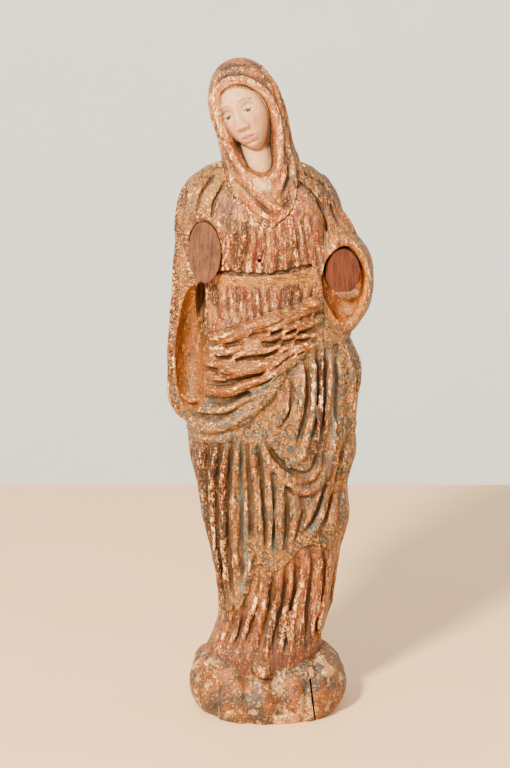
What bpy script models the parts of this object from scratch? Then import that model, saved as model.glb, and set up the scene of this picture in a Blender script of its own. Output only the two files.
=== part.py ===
"""A carved and painted wooden Madonna, 0.6 m high, as the blocks, dowels and nails that it is built up from.

Run with: blender --background --python part.py

Units are metres. +Z is up and the figure looks along -Y, so +X is on the viewer's right. "Right" and
"left" in the names are the figure's own: its right arm is on the viewer's left, at -X. The shapes are
written in millimetres about the figure's own axis; settle_on_origin() then moves the whole figure so that
the middle of its bounding box's underside is at the origin.

A figure like this is glued up from blocks of one wood first and carved through afterwards, so the blocks
share their surfaces: each is one carved form less the cells that its neighbours fill.
"""

import bisect
import math

import bmesh
import bpy
from mathutils import Matrix, Vector

MM = 0.001
GAP = 0.3  # mm, left at each glued face and round each dowel and nail
LONG = 700.0  # mm, past any side of the figure: how far a cutting box reaches

# Heights and planes where the blocks meet, in mm.
BASE_TOP = 40.0  # the figure's blocks stand on the base blocks here
BOARD_FRONT = 18.0  # y of the back board's glued face
RIGHT_FACE = -46.0  # x of the glued face of the mantle's side block, at the figure's right
LEFT_FACE = 60.0  # x of the glued faces of the elbow and hip blocks, at the figure's left
RIGHT_CELL = (272.0, 500.0)  # heights that the right side block fills
HIP_CELL = (158.0, 350.0)
ELBOW_CELL = (350.0, 500.0)
HEAD_SEAM_HEIGHT = 482.0  # where the sloping face under the head block crosses the figure's axis
HEAD_SEAM_SLOPE = 0.55  # its rise per mm towards the back

# Outlines, lowest first, in mm: height, then x of the left and right sides and y of the front and back.
TRUNK = [
    (40, -57, 68, -53, 44),
    (50, -54, 64, -50, 40),
    (58, -48, 61, -47, 38),
    (64, -42, 61, -45, 37),
    (76, -36, 63, -43, 37),
    (90, -31, 67, -40, 36),
    (120, -32, 72, -39, 36),
    (150, -38, 76, -42, 38),
    (180, -45, 83, -46, 40),
    (215, -50, 81, -49, 41),
    (240, -56, 88, -51, 42),
    (262, -58, 88, -53, 43),
    (290, -56, 90, -56, 43),
    (320, -52, 93, -56, 43),
    (350, -47, 82, -53, 42),
    (380, -42, 66, -44, 40),
    (400, -43, 64, -42, 40),
    (420, -47, 66, -43, 40),
    (445, -56, 70, -45, 40),
    (462, -62, 73, -43, 39),
    (478, -63, 70, -37, 36),
    (490, -56, 61, -29, 31),
    (500, -42, 47, -21, 24),
    (507, -26, 32, -12, 15),
]
RIGHT_SIDE = [  # the mantle that hangs from the right shoulder
    (272, -58, 22, -8, 20),
    (277, -67, -13, -17, 28),
    (284, -72, -8, -23, 33),
    (294, -76, -4, -27, 36),
    (310, -78, -2, -29, 38),
    (340, -79, -1, -29, 38),
    (370, -75, -5, -28, 38),
    (395, -73, -7, -27, 38),
    (430, -71, -9, -28, 37),
    (455, -70, -10, -29, 36),
    (470, -68, -12, -25, 34),
    (482, -63, -17, -19, 30),
    (491, -55, -25, -11, 24),
    (497, -49, -31, -5, 18),
]
LEFT_ELBOW = [  # the mantle over the left forearm
    (350, 79, 38, -12, 22),
    (354, 86, 31, -19, 27),
    (362, 93, 24, -27, 32),
    (374, 101, 16, -33, 35),
    (388, 105, 12, -36, 37),
    (402, 106, 11, -37, 38),
    (416, 105, 12, -37, 38),
    (430, 100, 17, -35, 37),
    (441, 91, 26, -32, 36),
    (452, 84, 33, -29, 35),
    (465, 77, 40, -25, 33),
    (478, 71, 46, -20, 30),
    (488, 65, 52, -14, 26),
    (493, 61, 56, -10, 22),
]
HEAD = [  # the hood, with the cowl that hangs from it on the chest
    (452, 4, 18, -47, -24),
    (459, -4, 28, -49, -8),
    (468, -13, 36, -49, 8),
    (480, -22, 40, -48, 22),
    (490, -27, 42, -46, 30),
    (500, -29, 42, -43, 33),
    (512, -30, 38, -41, 34),
    (524, -32, 33, -40, 35),
    (538, -36, 29, -40, 37),
    (552, -40, 26, -40, 37),
    (566, -41, 22, -38, 36),
    (578, -39, 16, -33, 32),
    (588, -34, 9, -26, 26),
    (594, -27, 1, -18, 18),
    (597.5, -19, -7, -9, 9),
]
BASE = [
    (0, -50, 74, -59, 46),
    (6, -56, 80, -61, 49),
    (16, -60, 84, -62, 51),
    (27, -60, 84, -61, 51),
    (35, -59, 80, -58, 49),
    (40, -57, 72, -54, 46),
]

# The deepest carved folds: the side they are on, their height in mm (below 0 for a channel), their half
# width, and the line they follow as x and height.
FRONT, BACK = -1, 1
TRUNK_FOLDS = [
    (FRONT, 6.0, 6, [(70, 388), (45, 386), (12, 374), (-20, 365), (-42, 353)]),
    (FRONT, 6.0, 5, [(54, 362), (20, 360), (-15, 358), (-44, 348)]),
    (FRONT, 6.0, 6, [(48, 347), (10, 333), (-22, 317), (-44, 308)]),
    (FRONT, 5.5, 6, [(40, 340), (12, 312), (-12, 290), (-34, 274), (-54, 270)]),
    (FRONT, 4.5, 4, [(3, 272), (15, 246), (37, 221), (55, 222), (64, 245), (70, 300)]),
    (FRONT, 4.5, 4, [(50, 345), (48, 290), (42, 252), (35, 232)]),
    (FRONT, 4.5, 4, [(-6, 275), (-1, 235), (3, 190), (6, 152)]),
    (FRONT, 4.0, 4, [(-24, 262), (-28, 215), (-30, 170), (-28, 130)]),
    (FRONT, 4.5, 4, [(75, 255), (62, 215), (50, 190), (28, 152)]),
    (FRONT, 4.0, 4, [(10, 132), (6, 105), (-4, 80)]),
    (FRONT, 4.0, 4, [(24, 132), (20, 105), (12, 74)]),
    (FRONT, 4.0, 4, [(47, 155), (38, 110), (34, 72)]),
    (FRONT, 4.0, 4, [(60, 150), (57, 110), (52, 70)]),
    (FRONT, -3.0, 4, [(-34, 414), (0, 417), (44, 421)]),
    (FRONT, -3.0, 4, [(-34, 400), (0, 400), (50, 398)]),
    (FRONT, 2.5, 4, [(-20, 460), (-22, 424)]),
    (FRONT, 2.5, 4, [(-4, 455), (-8, 424)]),
    (FRONT, 2.5, 4, [(18, 455), (13, 426)]),
    (FRONT, 2.5, 4, [(36, 458), (32, 428)]),
    (FRONT, 2.5, 4, [(52, 455), (52, 425)]),
    (BACK, 4.0, 8, [(-30, 440), (-36, 300), (-32, 160)]),
    (BACK, 4.0, 8, [(-6, 470), (-10, 300), (-6, 100)]),
    (BACK, 4.0, 8, [(20, 470), (20, 300), (24, 100)]),
    (BACK, 4.0, 8, [(46, 440), (52, 300), (54, 150)]),
]
TRUNK_HEMS = [  # rise in mm and line, from left to right, of each edge of cloth that lies over what is below
    (4.0, [(-60, 262), (-30, 266), (-10, 280), (12, 304), (26, 325), (44, 344), (64, 352), (96, 350)]),
    (4.0, [(-60, 94), (-20, 100), (-10, 110), (-3, 136), (10, 142), (30, 150), (44, 166), (60, 163), (96, 172)]),
]
HEAD_FOLDS = [
    (FRONT, 3.0, 4, [(-26, 505), (-20, 484), (-7, 468), (8, 460)]),
    (FRONT, 2.5, 3, [(-12, 500), (0, 491), (15, 476), (28, 470)]),
    (FRONT, 3.0, 4, [(32, 515), (34, 490), (27, 470), (10, 460)]),
]
BASE_FOLDS = [
    (FRONT, -6.0, 5, [(-12, 44), (-10, 0)]),
    (FRONT, -5.0, 4, [(27, 40), (29, 0)]),
    (FRONT, -4.0, 4, [(69, 38), (70, 4)]),
    (BACK, -5.0, 6, [(-20, 44), (-18, 0)]),
    (BACK, -5.0, 6, [(34, 44), (36, 0)]),
]
SHOULDER_FOLDS = [
    (FRONT, 3.0, 4, [(-60, 486), (-68, 440), (-72, 380), (-72, 300)]),
    (BACK, 3.0, 5, [(-56, 480), (-62, 400), (-64, 290)]),
]
ELBOW_FOLDS = [
    (FRONT, 3.0, 4, [(62, 486), (74, 464), (92, 442), (102, 415)]),
    (BACK, 3.0, 5, [(66, 480), (82, 440), (86, 370)]),
]

# The face, on plain proportions: where it stands, its half width, depth and half height, and how it leans
# to one side, turns and tips back, in degrees. Its features are written about its own middle.
FACE = {"at": (-9, -11, 549), "half": (22, 25, 34), "lean": -20, "turn": -18, "tip": -10}
FACE_FEATURES = [  # rise in mm, centre across and up, and spread across and up
    (2.0, 9, 8, 7, 2.5),  # brow
    (-3.0, 9.5, 1.5, 5.5, 4.5),  # eye socket
    (1.8, 9.5, 0, 4, 2.4),  # eye under its lids
    (1.5, 12, -11, 6, 6),  # cheek
    (1.6, 0, -21, 5.5, 1.5),  # upper lip
    (1.6, 0, -25, 4.5, 1.6),  # lower lip
    (2.6, 0, -31, 6, 3.5),  # chin
]
NOSE = {"top": 6, "tip": -14, "rise": 6.5, "width": 3.4}

# Where the arms were sawn off: centre, half width and half height of the sawn faces, in mm.
RIGHT_STUB = {"centre": (-44, 433), "half": (14.5, 27), "front": -43, "back": -13}
LEFT_STUB = {"centre": (77, 414), "half": (15.5, 20), "front": -31, "back": 0}
LEFT_STUB_FLOOR = 396.0  # the left face ends in a straight edge at this height
LEFT_HOOD = {"centre": (79.5, 406), "half": (21, 31), "front": -60, "back": -18}

CHEST_HOLE = {"at": (4, 427), "radius": 1.9, "depth": 16}  # for a metal ornament
HOLLOW = {"low": (-4, -14, 92), "high": (36, BOARD_FRONT + 10, 400), "round": 9}
BASE_CRACK = {"low_x": 50.0, "high_x": 45.0, "width": 1.7}  # the open joint in the base, foot to top

WOODS = {
    "painted_wood": ((0.36, 0.20, 0.10), 0.55, 0.0),
    "gilded_wood": ((0.55, 0.36, 0.16), 0.45, 0.2),
    "sawn_wood": ((0.30, 0.14, 0.09), 0.75, 0.0),
    "base_wood": ((0.38, 0.27, 0.18), 0.65, 0.0),
    "dowel_wood": ((0.52, 0.38, 0.24), 0.70, 0.0),
    "forged_iron": ((0.09, 0.08, 0.08), 0.60, 0.9),
}


def clear_scene():
    for obj in list(bpy.data.objects):
        bpy.data.objects.remove(obj)


def material(name):
    """The Principled material of that name, made once."""
    found = bpy.data.materials.get(name)
    if found:
        return found
    colour, roughness, metallic = WOODS[name]
    made = bpy.data.materials.new(name)
    made.use_nodes = True
    made.diffuse_color = (*colour, 1.0)
    surface = made.node_tree.nodes["Principled BSDF"]
    surface.inputs["Base Color"].default_value = (*colour, 1.0)
    surface.inputs["Roughness"].default_value = roughness
    surface.inputs["Metallic"].default_value = metallic
    return made


def finish_object(name, mesh_edit, wood=None):
    """An object from a bmesh in mm. With no wood it is a cutter, which isn't part of the figure."""
    bmesh.ops.scale(mesh_edit, vec=(MM, MM, MM), verts=mesh_edit.verts)
    bmesh.ops.recalc_face_normals(mesh_edit, faces=mesh_edit.faces)
    mesh = bpy.data.meshes.new(name)
    mesh_edit.to_mesh(mesh)
    mesh_edit.free()
    obj = bpy.data.objects.new(name, mesh)
    bpy.context.scene.collection.objects.link(obj)
    if wood:
        mesh.materials.append(material(wood))
        mesh.shade_smooth()
        mesh.set_sharp_from_angle(angle=math.radians(35))
    else:
        obj.hide_render = True
        obj.display_type = "WIRE"
    return obj


def along(stations, height):
    """The stations' values at a height, on a smooth curve through them."""
    heights = [station[0] for station in stations]
    height = min(max(height, heights[0]), heights[-1])
    i = min(bisect.bisect_right(heights, height), len(heights) - 1)
    low, high = stations[i - 1], stations[i]
    before, after = stations[max(i - 2, 0)], stations[min(i + 1, len(stations) - 1)]
    span = high[0] - low[0]
    t = (height - low[0]) / span
    values = []
    for k in range(1, len(low)):
        slope_low = (high[k] - before[k]) / (high[0] - before[0]) * span
        slope_high = (after[k] - low[k]) / (after[0] - low[0]) * span
        values.append(
            (2 * t**3 - 3 * t**2 + 1) * low[k]
            + (t**3 - 2 * t**2 + t) * slope_low
            + (3 * t**2 - 2 * t**3) * high[k]
            + (t**3 - t**2) * slope_high
        )
    return values


ROUNDNESS = 2.3  # exponent of the outlines' superellipse: 2 is an ellipse, more is squarer


def outline_point(sides, angle, grow):
    """A point of the closed outline with those sides, at an angle about its middle."""
    left, right, front, back = sides
    middle = (left + right) / 2
    across, deep = math.cos(angle), math.sin(angle)
    half_depth = back if deep > 0 else -front
    power = 2 / ROUNDNESS
    x = middle + math.copysign(abs(across) ** power, across) * (abs(right - left) / 2 + grow)
    y = math.copysign(abs(deep) ** power, deep) * (half_depth + grow)
    return x, y


def surface_y(stations, side, x, height):
    """y of the front or back surface over x and height."""
    left, right, front, back = along(stations, height)
    share = min(abs(2 * x - left - right) / abs(right - left), 0.98)
    depth = (1 - share**ROUNDNESS) ** (1 / ROUNDNESS)
    return depth * (front if side == FRONT else back)


def distance_to_line(point, line):
    """Distance from a point to a line of points."""
    nearest = math.inf
    for start, end in zip(line, line[1:]):
        step = end - start
        t = min(max((point - start).dot(step) / step.length_squared, 0.0), 1.0)
        nearest = min(nearest, (point - start - step * t).length)
    return nearest


def folds_on(stations, folds):
    """The folds as (height, half width, line in space)."""
    return [
        (rise, width, [Vector((x, surface_y(stations, side, x, z), z)) for x, z in line])
        for side, rise, width, line in folds
    ]


def fold_rise(point, folds):
    """How far the folds stand out at a point: the highest ridge there, less the channels."""
    ridge, channel = 0.0, 0.0
    for rise, width, line in folds:
        share = distance_to_line(point, line) / (1.6 * width)
        if share < 1:
            lift = rise * (1 - share**2) ** 2
            ridge, channel = max(ridge, lift), min(channel, lift)
    return ridge + channel


def eased(low, high, value):
    """0 below low, 1 above high, and a smooth climb between them."""
    t = min(max((value - low) / (high - low), 0.0), 1.0)
    return t * t * (3 - 2 * t)


def hem_rise(point, hems):
    """How far the edges of the upper cloth stand out over the front: full at the edge, less above it."""
    if point.y >= 0:
        return 0.0
    lift = 0.0
    for rise, line in hems:
        after = min(max(bisect.bisect_left([x for x, z in line], point.x), 1), len(line) - 1)
        (x0, z0), (x1, z1) = line[after - 1 : after + 1]
        slope = (z1 - z0) / (x1 - x0)
        above = (point.z - z0 - slope * (point.x - x0)) / math.hypot(1, slope)
        lift = max(lift, rise * eased(-4, 2, above) * (1 - eased(4, 40, above)))
    return lift


def ring_angles(sides):
    """Angles round an outline, closer together over the front, where the carving is."""
    front = round(sides * 0.64)
    back = sides - front
    ahead = [-math.pi + math.pi * s / front for s in range(front)]
    return ahead + [math.pi * s / back for s in range(back)]


def skin(mesh_edit, loops):
    """Closes a stack of loops of points, lowest first, into one body."""
    rings = [[mesh_edit.verts.new(point) for point in loop] for loop in loops]
    for lower, upper in zip(rings, rings[1:]):
        for s in range(len(lower)):
            t = (s + 1) % len(lower)
            mesh_edit.faces.new((lower[s], lower[t], upper[t], upper[s]))
    mesh_edit.faces.new(reversed(rings[0]))
    mesh_edit.faces.new(rings[-1])
    bmesh.ops.triangulate(mesh_edit, faces=mesh_edit.faces[:])


def loft(name, stations, rings, sides, wood=None, grow=0.0, folds=(), hems=(), low=None, high=None):
    """A closed skin through the stations' outlines, with the folds and hems standing out of it."""
    low = stations[0][0] if low is None else low
    high = stations[-1][0] if high is None else high
    placed = folds_on(stations, folds)
    loops = []
    for k in range(rings + 1):
        height = low + (high - low) * k / rings
        outline = along(stations, height)
        middle = Vector(((outline[0] + outline[1]) / 2, 0, height))
        loop = []
        for angle in ring_angles(sides):
            plain = Vector((*outline_point(outline, angle, 0), height))
            rise = fold_rise(plain, placed) + hem_rise(plain, hems)
            outward = (plain - middle).normalized()
            loop.append(Vector((*outline_point(outline, angle, grow), height)) + outward * rise)
        loops.append(loop)
    mesh_edit = bmesh.new()
    skin(mesh_edit, loops)
    return finish_object(name, mesh_edit, wood)


def box(name, low, high, rounding=0.0, lean=0.0):
    """A cutting box between two corners in mm, turned by lean about Y through its middle."""
    low, high = Vector(low), Vector(high)
    mesh_edit = bmesh.new()
    bmesh.ops.create_cube(mesh_edit, size=1.0)
    bmesh.ops.scale(mesh_edit, vec=high - low, verts=mesh_edit.verts)
    if rounding:
        bmesh.ops.bevel(
            mesh_edit, geom=mesh_edit.edges, offset=rounding, segments=3, profile=0.5, affect="EDGES"
        )
    middle = (low + high) / 2
    turn = Matrix.Translation(middle) @ Matrix.Rotation(lean, 4, "Y")
    bmesh.ops.transform(mesh_edit, matrix=turn, verts=mesh_edit.verts)
    return finish_object(name, mesh_edit)


def rod(name, start, end, radius, sides=12, wood=None, stretch=(1, 1)):
    """A round or oval rod between two points in mm. stretch widens it across its axis."""
    start, end = Vector(start), Vector(end)
    axis = end - start
    mesh_edit = bmesh.new()
    bmesh.ops.create_cone(
        mesh_edit, cap_ends=True, segments=sides, radius1=radius, radius2=radius, depth=axis.length
    )
    bmesh.ops.scale(mesh_edit, vec=(*stretch, 1), verts=mesh_edit.verts)
    turn = Matrix.Translation((start + end) / 2) @ axis.to_track_quat("Z", "Y").to_matrix().to_4x4()
    bmesh.ops.transform(mesh_edit, matrix=turn, verts=mesh_edit.verts)
    return finish_object(name, mesh_edit, wood)


def egg(name, centre, radii, lean=0.0, nod=0.0, detail=(18, 11)):
    """An ellipsoid, turned by lean about Y and nod about X."""
    mesh_edit = bmesh.new()
    bmesh.ops.create_uvsphere(mesh_edit, u_segments=detail[0], v_segments=detail[1], radius=1.0)
    bmesh.ops.scale(mesh_edit, vec=radii, verts=mesh_edit.verts)
    turn = Matrix.Translation(centre) @ Matrix.Rotation(lean, 4, "Y") @ Matrix.Rotation(nod, 4, "X")
    bmesh.ops.transform(mesh_edit, matrix=turn, verts=mesh_edit.verts)
    return finish_object(name, mesh_edit)


def combine(target, other, operation="DIFFERENCE"):
    modifier = target.modifiers.new(f"{operation.lower()}_{other.name}", "BOOLEAN")
    modifier.operation = operation
    modifier.solver = "EXACT"
    modifier.object = other
    return target


def combine_all(target, holes):
    """Cuts every shape of a collection from the target."""
    modifier = target.modifiers.new("fastener_holes", "BOOLEAN")
    modifier.operation = "DIFFERENCE"
    modifier.solver = "EXACT"
    modifier.operand_type = "COLLECTION"
    modifier.collection = holes


def sawn_stub(name, stub, grow=0.0, wood=None):
    """The oval stump of an arm, its flat sawn face towards -Y."""
    (x, z), (half_x, half_z) = stub["centre"], stub["half"]
    return rod(
        name,
        (x, stub["back"] + grow, z),
        (x, stub["front"] - grow, z),
        1.0,
        sides=28,
        wood=wood,
        stretch=(half_x + grow, half_z + grow),
    )


def head_form(name, grow=0.0, wood=None):
    """The hood's skin, cut off below by the sloping face that it is glued on by."""
    form = loft(name, HEAD, rings=26, sides=34, wood=wood, grow=grow, folds=HEAD_FOLDS)
    normal = Vector((0, -HEAD_SEAM_SLOPE, 1)).normalized()
    on_face = Vector((0, 0, HEAD_SEAM_HEIGHT)) - normal * grow
    mesh_edit = bmesh.new()
    mesh_edit.from_mesh(form.data)
    whole = mesh_edit.verts[:] + mesh_edit.edges[:] + mesh_edit.faces[:]
    cut = bmesh.ops.bisect_plane(
        mesh_edit, geom=whole, plane_co=on_face * MM, plane_no=normal, clear_inner=True
    )
    edges = [item for item in cut["geom_cut"] if isinstance(item, bmesh.types.BMEdge)]
    bmesh.ops.holes_fill(mesh_edit, edges=edges)
    mesh_edit.to_mesh(form.data)
    mesh_edit.free()
    return form


def side_cells(grow):
    """The boxes that the side blocks fill, grown by half a joint's gap."""
    return [
        box("right_cell", (-LONG, -LONG, RIGHT_CELL[0] - grow), (RIGHT_FACE + grow, LONG, RIGHT_CELL[1])),
        box("left_cell", (LEFT_FACE - grow, -LONG, HIP_CELL[0] - grow), (LONG, LONG, ELBOW_CELL[1])),
    ]


# Dowels: name, middle, direction, length and radius in mm. Each bridges one glued joint.
SEAM_NORMAL = Vector((0, -HEAD_SEAM_SLOPE, 1)).normalized()
DOWELS = [
    ("neck_dowel", (5, 0, HEAD_SEAM_HEIGHT), SEAM_NORMAL, 46, 6.0),
    ("right_side_dowel_upper", (RIGHT_FACE, 13, 455), (1, 0, 0), 26, 4.0),
    ("right_side_dowel_lower", (RIGHT_FACE, 10, 296), (1, 0, 0), 26, 4.0),
    ("left_elbow_dowel_upper", (LEFT_FACE, 8, 455), (1, 0, 0), 22, 4.0),
    ("left_elbow_dowel_lower", (LEFT_FACE, 8, 376), (1, 0, 0), 22, 4.0),
    ("left_hip_dowel_upper", (LEFT_FACE, 0, 318), (1, 0, 0), 28, 4.0),
    ("left_hip_dowel_lower", (LEFT_FACE, 0, 196), (1, 0, 0), 24, 4.0),
    ("right_arm_dowel", (-37, RIGHT_STUB["back"], 433), (0, 1, 0), 26, 3.5),
    ("left_arm_dowel", (77, LEFT_STUB["back"], 412), (0, 1, 0), 26, 3.5),
    ("base_dowel_right", (-6, -8, BASE_TOP), (0, 0, 1), 50, 5.0),
    ("base_dowel_left", (34, -8, BASE_TOP), (0, 0, 1), 50, 5.0),
    ("base_cross_dowel_front", (47.5, -28, 20), (1, 0, 0), 30, 4.0),
    ("base_cross_dowel_rear", (47.5, 26, 20), (1, 0, 0), 30, 4.0),
]
NAIL_PLACES = [(-18, 125), (48, 125), (-20, 372), (44, 372)]
NAIL_LENGTH = 34.0
NAIL_HEAD_RADIUS = 4.0
NAIL_SHANK_RADIUS = 1.6


def make_dowels(holes):
    for name, middle, direction, length, radius in DOWELS:
        half = Vector(direction).normalized() * (length / 2)
        middle = Vector(middle)
        rod(name, middle - half, middle + half, radius, wood="dowel_wood")
        slack = half.normalized() * GAP
        hole = rod(f"hole_{name}", middle - half - slack, middle + half + slack, radius + GAP)
        holes.objects.link(hole)


def nail(name, x, z, grow=0.0, wood=None):
    """A forged nail driven in from the back, its domed head standing in the bottom of a shallow hole."""
    face = Vector((x, surface_y(TRUNK, BACK, x, z), z))
    top = face.y + fold_rise(face, folds_on(TRUNK, TRUNK_FOLDS)) + 0.6
    profile = [
        (top - NAIL_LENGTH - grow, 0.5 + grow),
        (top - 2.2, NAIL_SHANK_RADIUS + grow),
        (top - 2.2 - grow, NAIL_HEAD_RADIUS + grow),
        (top - 0.9, NAIL_HEAD_RADIUS - 0.6 + grow),
        (top, 1.4 + grow),
    ]
    if grow:
        profile[-2:] = [(top + 8.0, NAIL_HEAD_RADIUS + grow)]
    corners = [math.pi * (s + 0.5) / 3 for s in range(6)]
    mesh_edit = bmesh.new()
    skin(mesh_edit, [[(x + r * math.cos(a), y, z + r * math.sin(a)) for a in corners] for y, r in profile])
    return finish_object(name, mesh_edit, wood)


def make_nails(holes):
    for number, (x, z) in enumerate(NAIL_PLACES, 1):
        nail(f"back_nail_{number}", x, z, wood="forged_iron")
        holes.objects.link(nail(f"hole_nail_{number}", x, z, grow=GAP))


def face_turn():
    """The turn from the face's own axes to the figure's."""
    lean, turn, tip = (math.radians(FACE[key]) for key in ("lean", "turn", "tip"))
    return Matrix.Rotation(lean, 4, "Y") @ Matrix.Rotation(turn, 4, "Z") @ Matrix.Rotation(tip, 4, "X")


def feature_rise(across, up):
    """How far a plain face's features stand out of its oval, at a point about the face's middle."""
    rise = 0.0
    for height, middle, level, wide, tall in FACE_FEATURES:
        spread = ((abs(across) - middle) / wide) ** 2 + ((up - level) / tall) ** 2
        rise += height * math.exp(-spread)
    down = (NOSE["top"] - up) / (NOSE["top"] - NOSE["tip"])
    bridge = eased(0, 1, down) * (1 - eased(1.0, 1.2, down))
    return rise + NOSE["rise"] * bridge * math.exp(-((across / NOSE["width"]) ** 2))


def face_form(name, rings=13, spokes=28):
    """The face as a solid: a rim set back in the hood, then rings inward with the features in relief."""
    half_width, depth, half_height = FACE["half"]
    loops = []
    for ring in range(-1, rings):
        share = 1.0 - max(ring, 0) / rings
        points = []
        for spoke in range(spokes):
            angle = 2 * math.pi * spoke / spokes
            across, up = half_width * share * math.cos(angle), half_height * share * math.sin(angle)
            out = depth * math.sqrt(1 - share**2) + feature_rise(across, up) * (1 - share**6)
            points.append(Vector((across, 10.0 if ring < 0 else -out, up)))
        loops.append(points)
    mesh_edit = bmesh.new()
    skin(mesh_edit, loops)
    turn = Matrix.Translation(FACE["at"]) @ face_turn()
    bmesh.ops.transform(mesh_edit, matrix=turn, verts=mesh_edit.verts)
    return finish_object(name, mesh_edit)


def make_head_block():
    """The hood, hollowed round the face and the neck, which stand in it."""
    head = head_form("head_block", wood="gilded_wood")
    lean, tip = math.radians(FACE["lean"]), math.radians(FACE["tip"])
    combine(head, egg("face_hollow", (-10, -44, 548), (24, 25, 36), lean, tip))
    combine(head, egg("neck_hollow", (3, -50, 516), (18, 30, 22)))
    combine(head, face_form("face"), "UNION")
    combine(head, rod("neck", (-1, -8, 535), (6, -17, 486), 13, sides=20), "UNION")
    return head


def carved_log(name):
    """The whole figure from foot to shoulders, before it is cut back to one block's share."""
    return loft(
        name, TRUNK, 46, 50, "painted_wood", folds=TRUNK_FOLDS, hems=TRUNK_HEMS, low=BASE_TOP + GAP / 2
    )


def make_trunk(right_stub_cell, head_cell, cells):
    """The main log: the figure from its foot to its shoulders, hollowed from the back."""
    trunk = carved_log("trunk")
    for cell in cells:
        combine(trunk, cell)
    combine(trunk, head_cell)
    combine(trunk, right_stub_cell)
    combine(trunk, box("board_cell", (-LONG, BOARD_FRONT - GAP / 2, -LONG), (LONG, LONG, LONG)))
    combine(trunk, box("hollow", HOLLOW["low"], HOLLOW["high"], rounding=HOLLOW["round"]))
    x, z = CHEST_HOLE["at"]
    surface = surface_y(TRUNK, FRONT, x, z)
    combine(
        trunk,
        rod("chest_hole", (x, surface - 20, z), (x, surface + CHEST_HOLE["depth"], z), CHEST_HOLE["radius"]),
    )
    return trunk


def make_back_board(head_cell, cells):
    """The plank that closes the hollow, carved as the mantle's back."""
    board = carved_log("back_board")
    for cell in cells:
        combine(board, cell)
    combine(board, head_cell)
    front = (-LONG, -LONG, -LONG), (LONG, BOARD_FRONT + GAP / 2, LONG)
    combine(board, box("trunk_cell", *front))
    return board


def make_right_side(right_stub_cell):
    """The block of the mantle at the figure's right, scooped out between its edge and the body."""
    side = loft("mantle_side_right", RIGHT_SIDE, 20, 24, "gilded_wood", folds=SHOULDER_FOLDS, low=RIGHT_CELL[0] + GAP / 2)
    combine(side, box("right_core", (RIGHT_FACE - GAP / 2, -LONG, -LONG), (LONG, LONG, LONG)))
    combine(side, egg("right_scoop", (-56, -24, 342), (15.5, 38, 62), math.radians(3), detail=(20, 13)))
    combine(side, right_stub_cell)
    return side


def make_left_elbow(left_stub_cell):
    """The block of the mantle over the left elbow, open to the front round the forearm's stump."""
    elbow = loft("mantle_elbow_left", LEFT_ELBOW, 19, 24, "gilded_wood", folds=ELBOW_FOLDS, low=ELBOW_CELL[0] + GAP / 2)
    combine(elbow, box("left_core", (-LONG, -LONG, -LONG), (LEFT_FACE + GAP / 2, LONG, LONG)))
    combine(elbow, sawn_stub("left_hood", LEFT_HOOD))
    combine(elbow, egg("left_scoop", (79, -26, 378), (15, 22, 16), detail=(16, 10)))
    combine(elbow, left_stub_cell)
    return elbow


def make_left_hip():
    """The block of the drapery at the left hip, which the same carving runs over."""
    hip = carved_log("drape_hip_left")
    combine(hip, box("hip_core", (-LONG, -LONG, -LONG), (LEFT_FACE + GAP / 2, LONG, LONG)))
    combine(hip, box("hip_above", (-LONG, -LONG, HIP_CELL[1] - GAP / 2), (LONG, LONG, LONG)))
    combine(hip, box("hip_below", (-LONG, -LONG, -LONG), (LONG, LONG, HIP_CELL[0] + GAP / 2)))
    return hip


def make_base():
    """The rocky base in two boards. Their glued joint has opened, and leans a little from foot to top."""
    high = BASE_TOP - GAP / 2
    lean = math.atan2(BASE_CRACK["high_x"] - BASE_CRACK["low_x"], high)
    middle = (BASE_CRACK["low_x"] + BASE_CRACK["high_x"]) / 2
    for name, side in (("base_main", 1), ("base_side_left", -1)):
        board = loft(name, BASE, 8, 56, "base_wood", folds=BASE_FOLDS, high=high)
        inner = middle - side * BASE_CRACK["width"] / 2
        outer = middle + side * LONG
        reach = LONG / 2
        low_corner = (min(inner, outer), -reach, high / 2 - reach)
        high_corner = (max(inner, outer), reach, high / 2 + reach)
        other = box(f"beyond_{name}", low_corner, high_corner)
        pivot = Vector((middle, 0, high / 2)) * MM
        turn = Matrix.Rotation(lean, 4, "Y")
        other.data.transform(Matrix.Translation(pivot) @ turn @ Matrix.Translation(-pivot))
        combine(board, other)


def make_stubs():
    sawn_stub("arm_stub_right", RIGHT_STUB, wood="sawn_wood")
    left = sawn_stub("arm_stub_left", LEFT_STUB, wood="sawn_wood")
    combine(left, box("left_floor", (-LONG, -LONG, -LONG), (LONG, LONG, LEFT_STUB_FLOOR)))


def settle_on_origin():
    """Moves the figure so that the middle of its bounding box's underside is at the origin."""
    bpy.context.view_layer.update()
    graph = bpy.context.evaluated_depsgraph_get()
    corners = []
    for obj in bpy.data.objects:
        if not obj.hide_render:
            corners += [Vector(corner) for corner in obj.evaluated_get(graph).bound_box]
    shift = Vector(
        (-(min(c[k] for c in corners) + max(c[k] for c in corners)) / 2 for k in range(2))
    ).to_3d()
    for obj in bpy.data.objects:
        obj.location += shift
    print("the figure's axis stands at", tuple(round(value, 6) for value in shift))


def main():
    clear_scene()
    holes = bpy.data.collections.new("holes")
    head_cell = head_form("head_cell", grow=GAP)
    right_stub_cell = sawn_stub("right_stub_cell", RIGHT_STUB, grow=GAP)
    left_stub_cell = sawn_stub("left_stub_cell", LEFT_STUB, grow=GAP)
    cells = side_cells(GAP / 2)
    make_trunk(right_stub_cell, head_cell, cells)
    make_back_board(head_cell, cells)
    make_right_side(right_stub_cell)
    make_left_elbow(left_stub_cell)
    make_left_hip()
    make_head_block()
    make_base()
    make_stubs()
    blocks = [obj for obj in bpy.data.objects if not obj.hide_render]
    make_dowels(holes)
    make_nails(holes)
    for block in blocks:
        combine_all(block, holes)
    settle_on_origin()


main()
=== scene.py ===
"""The carved Madonna's looks: each block carved through at about 1 mm, gessoed, gilded, painted and worn."""

import copy
import math

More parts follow.
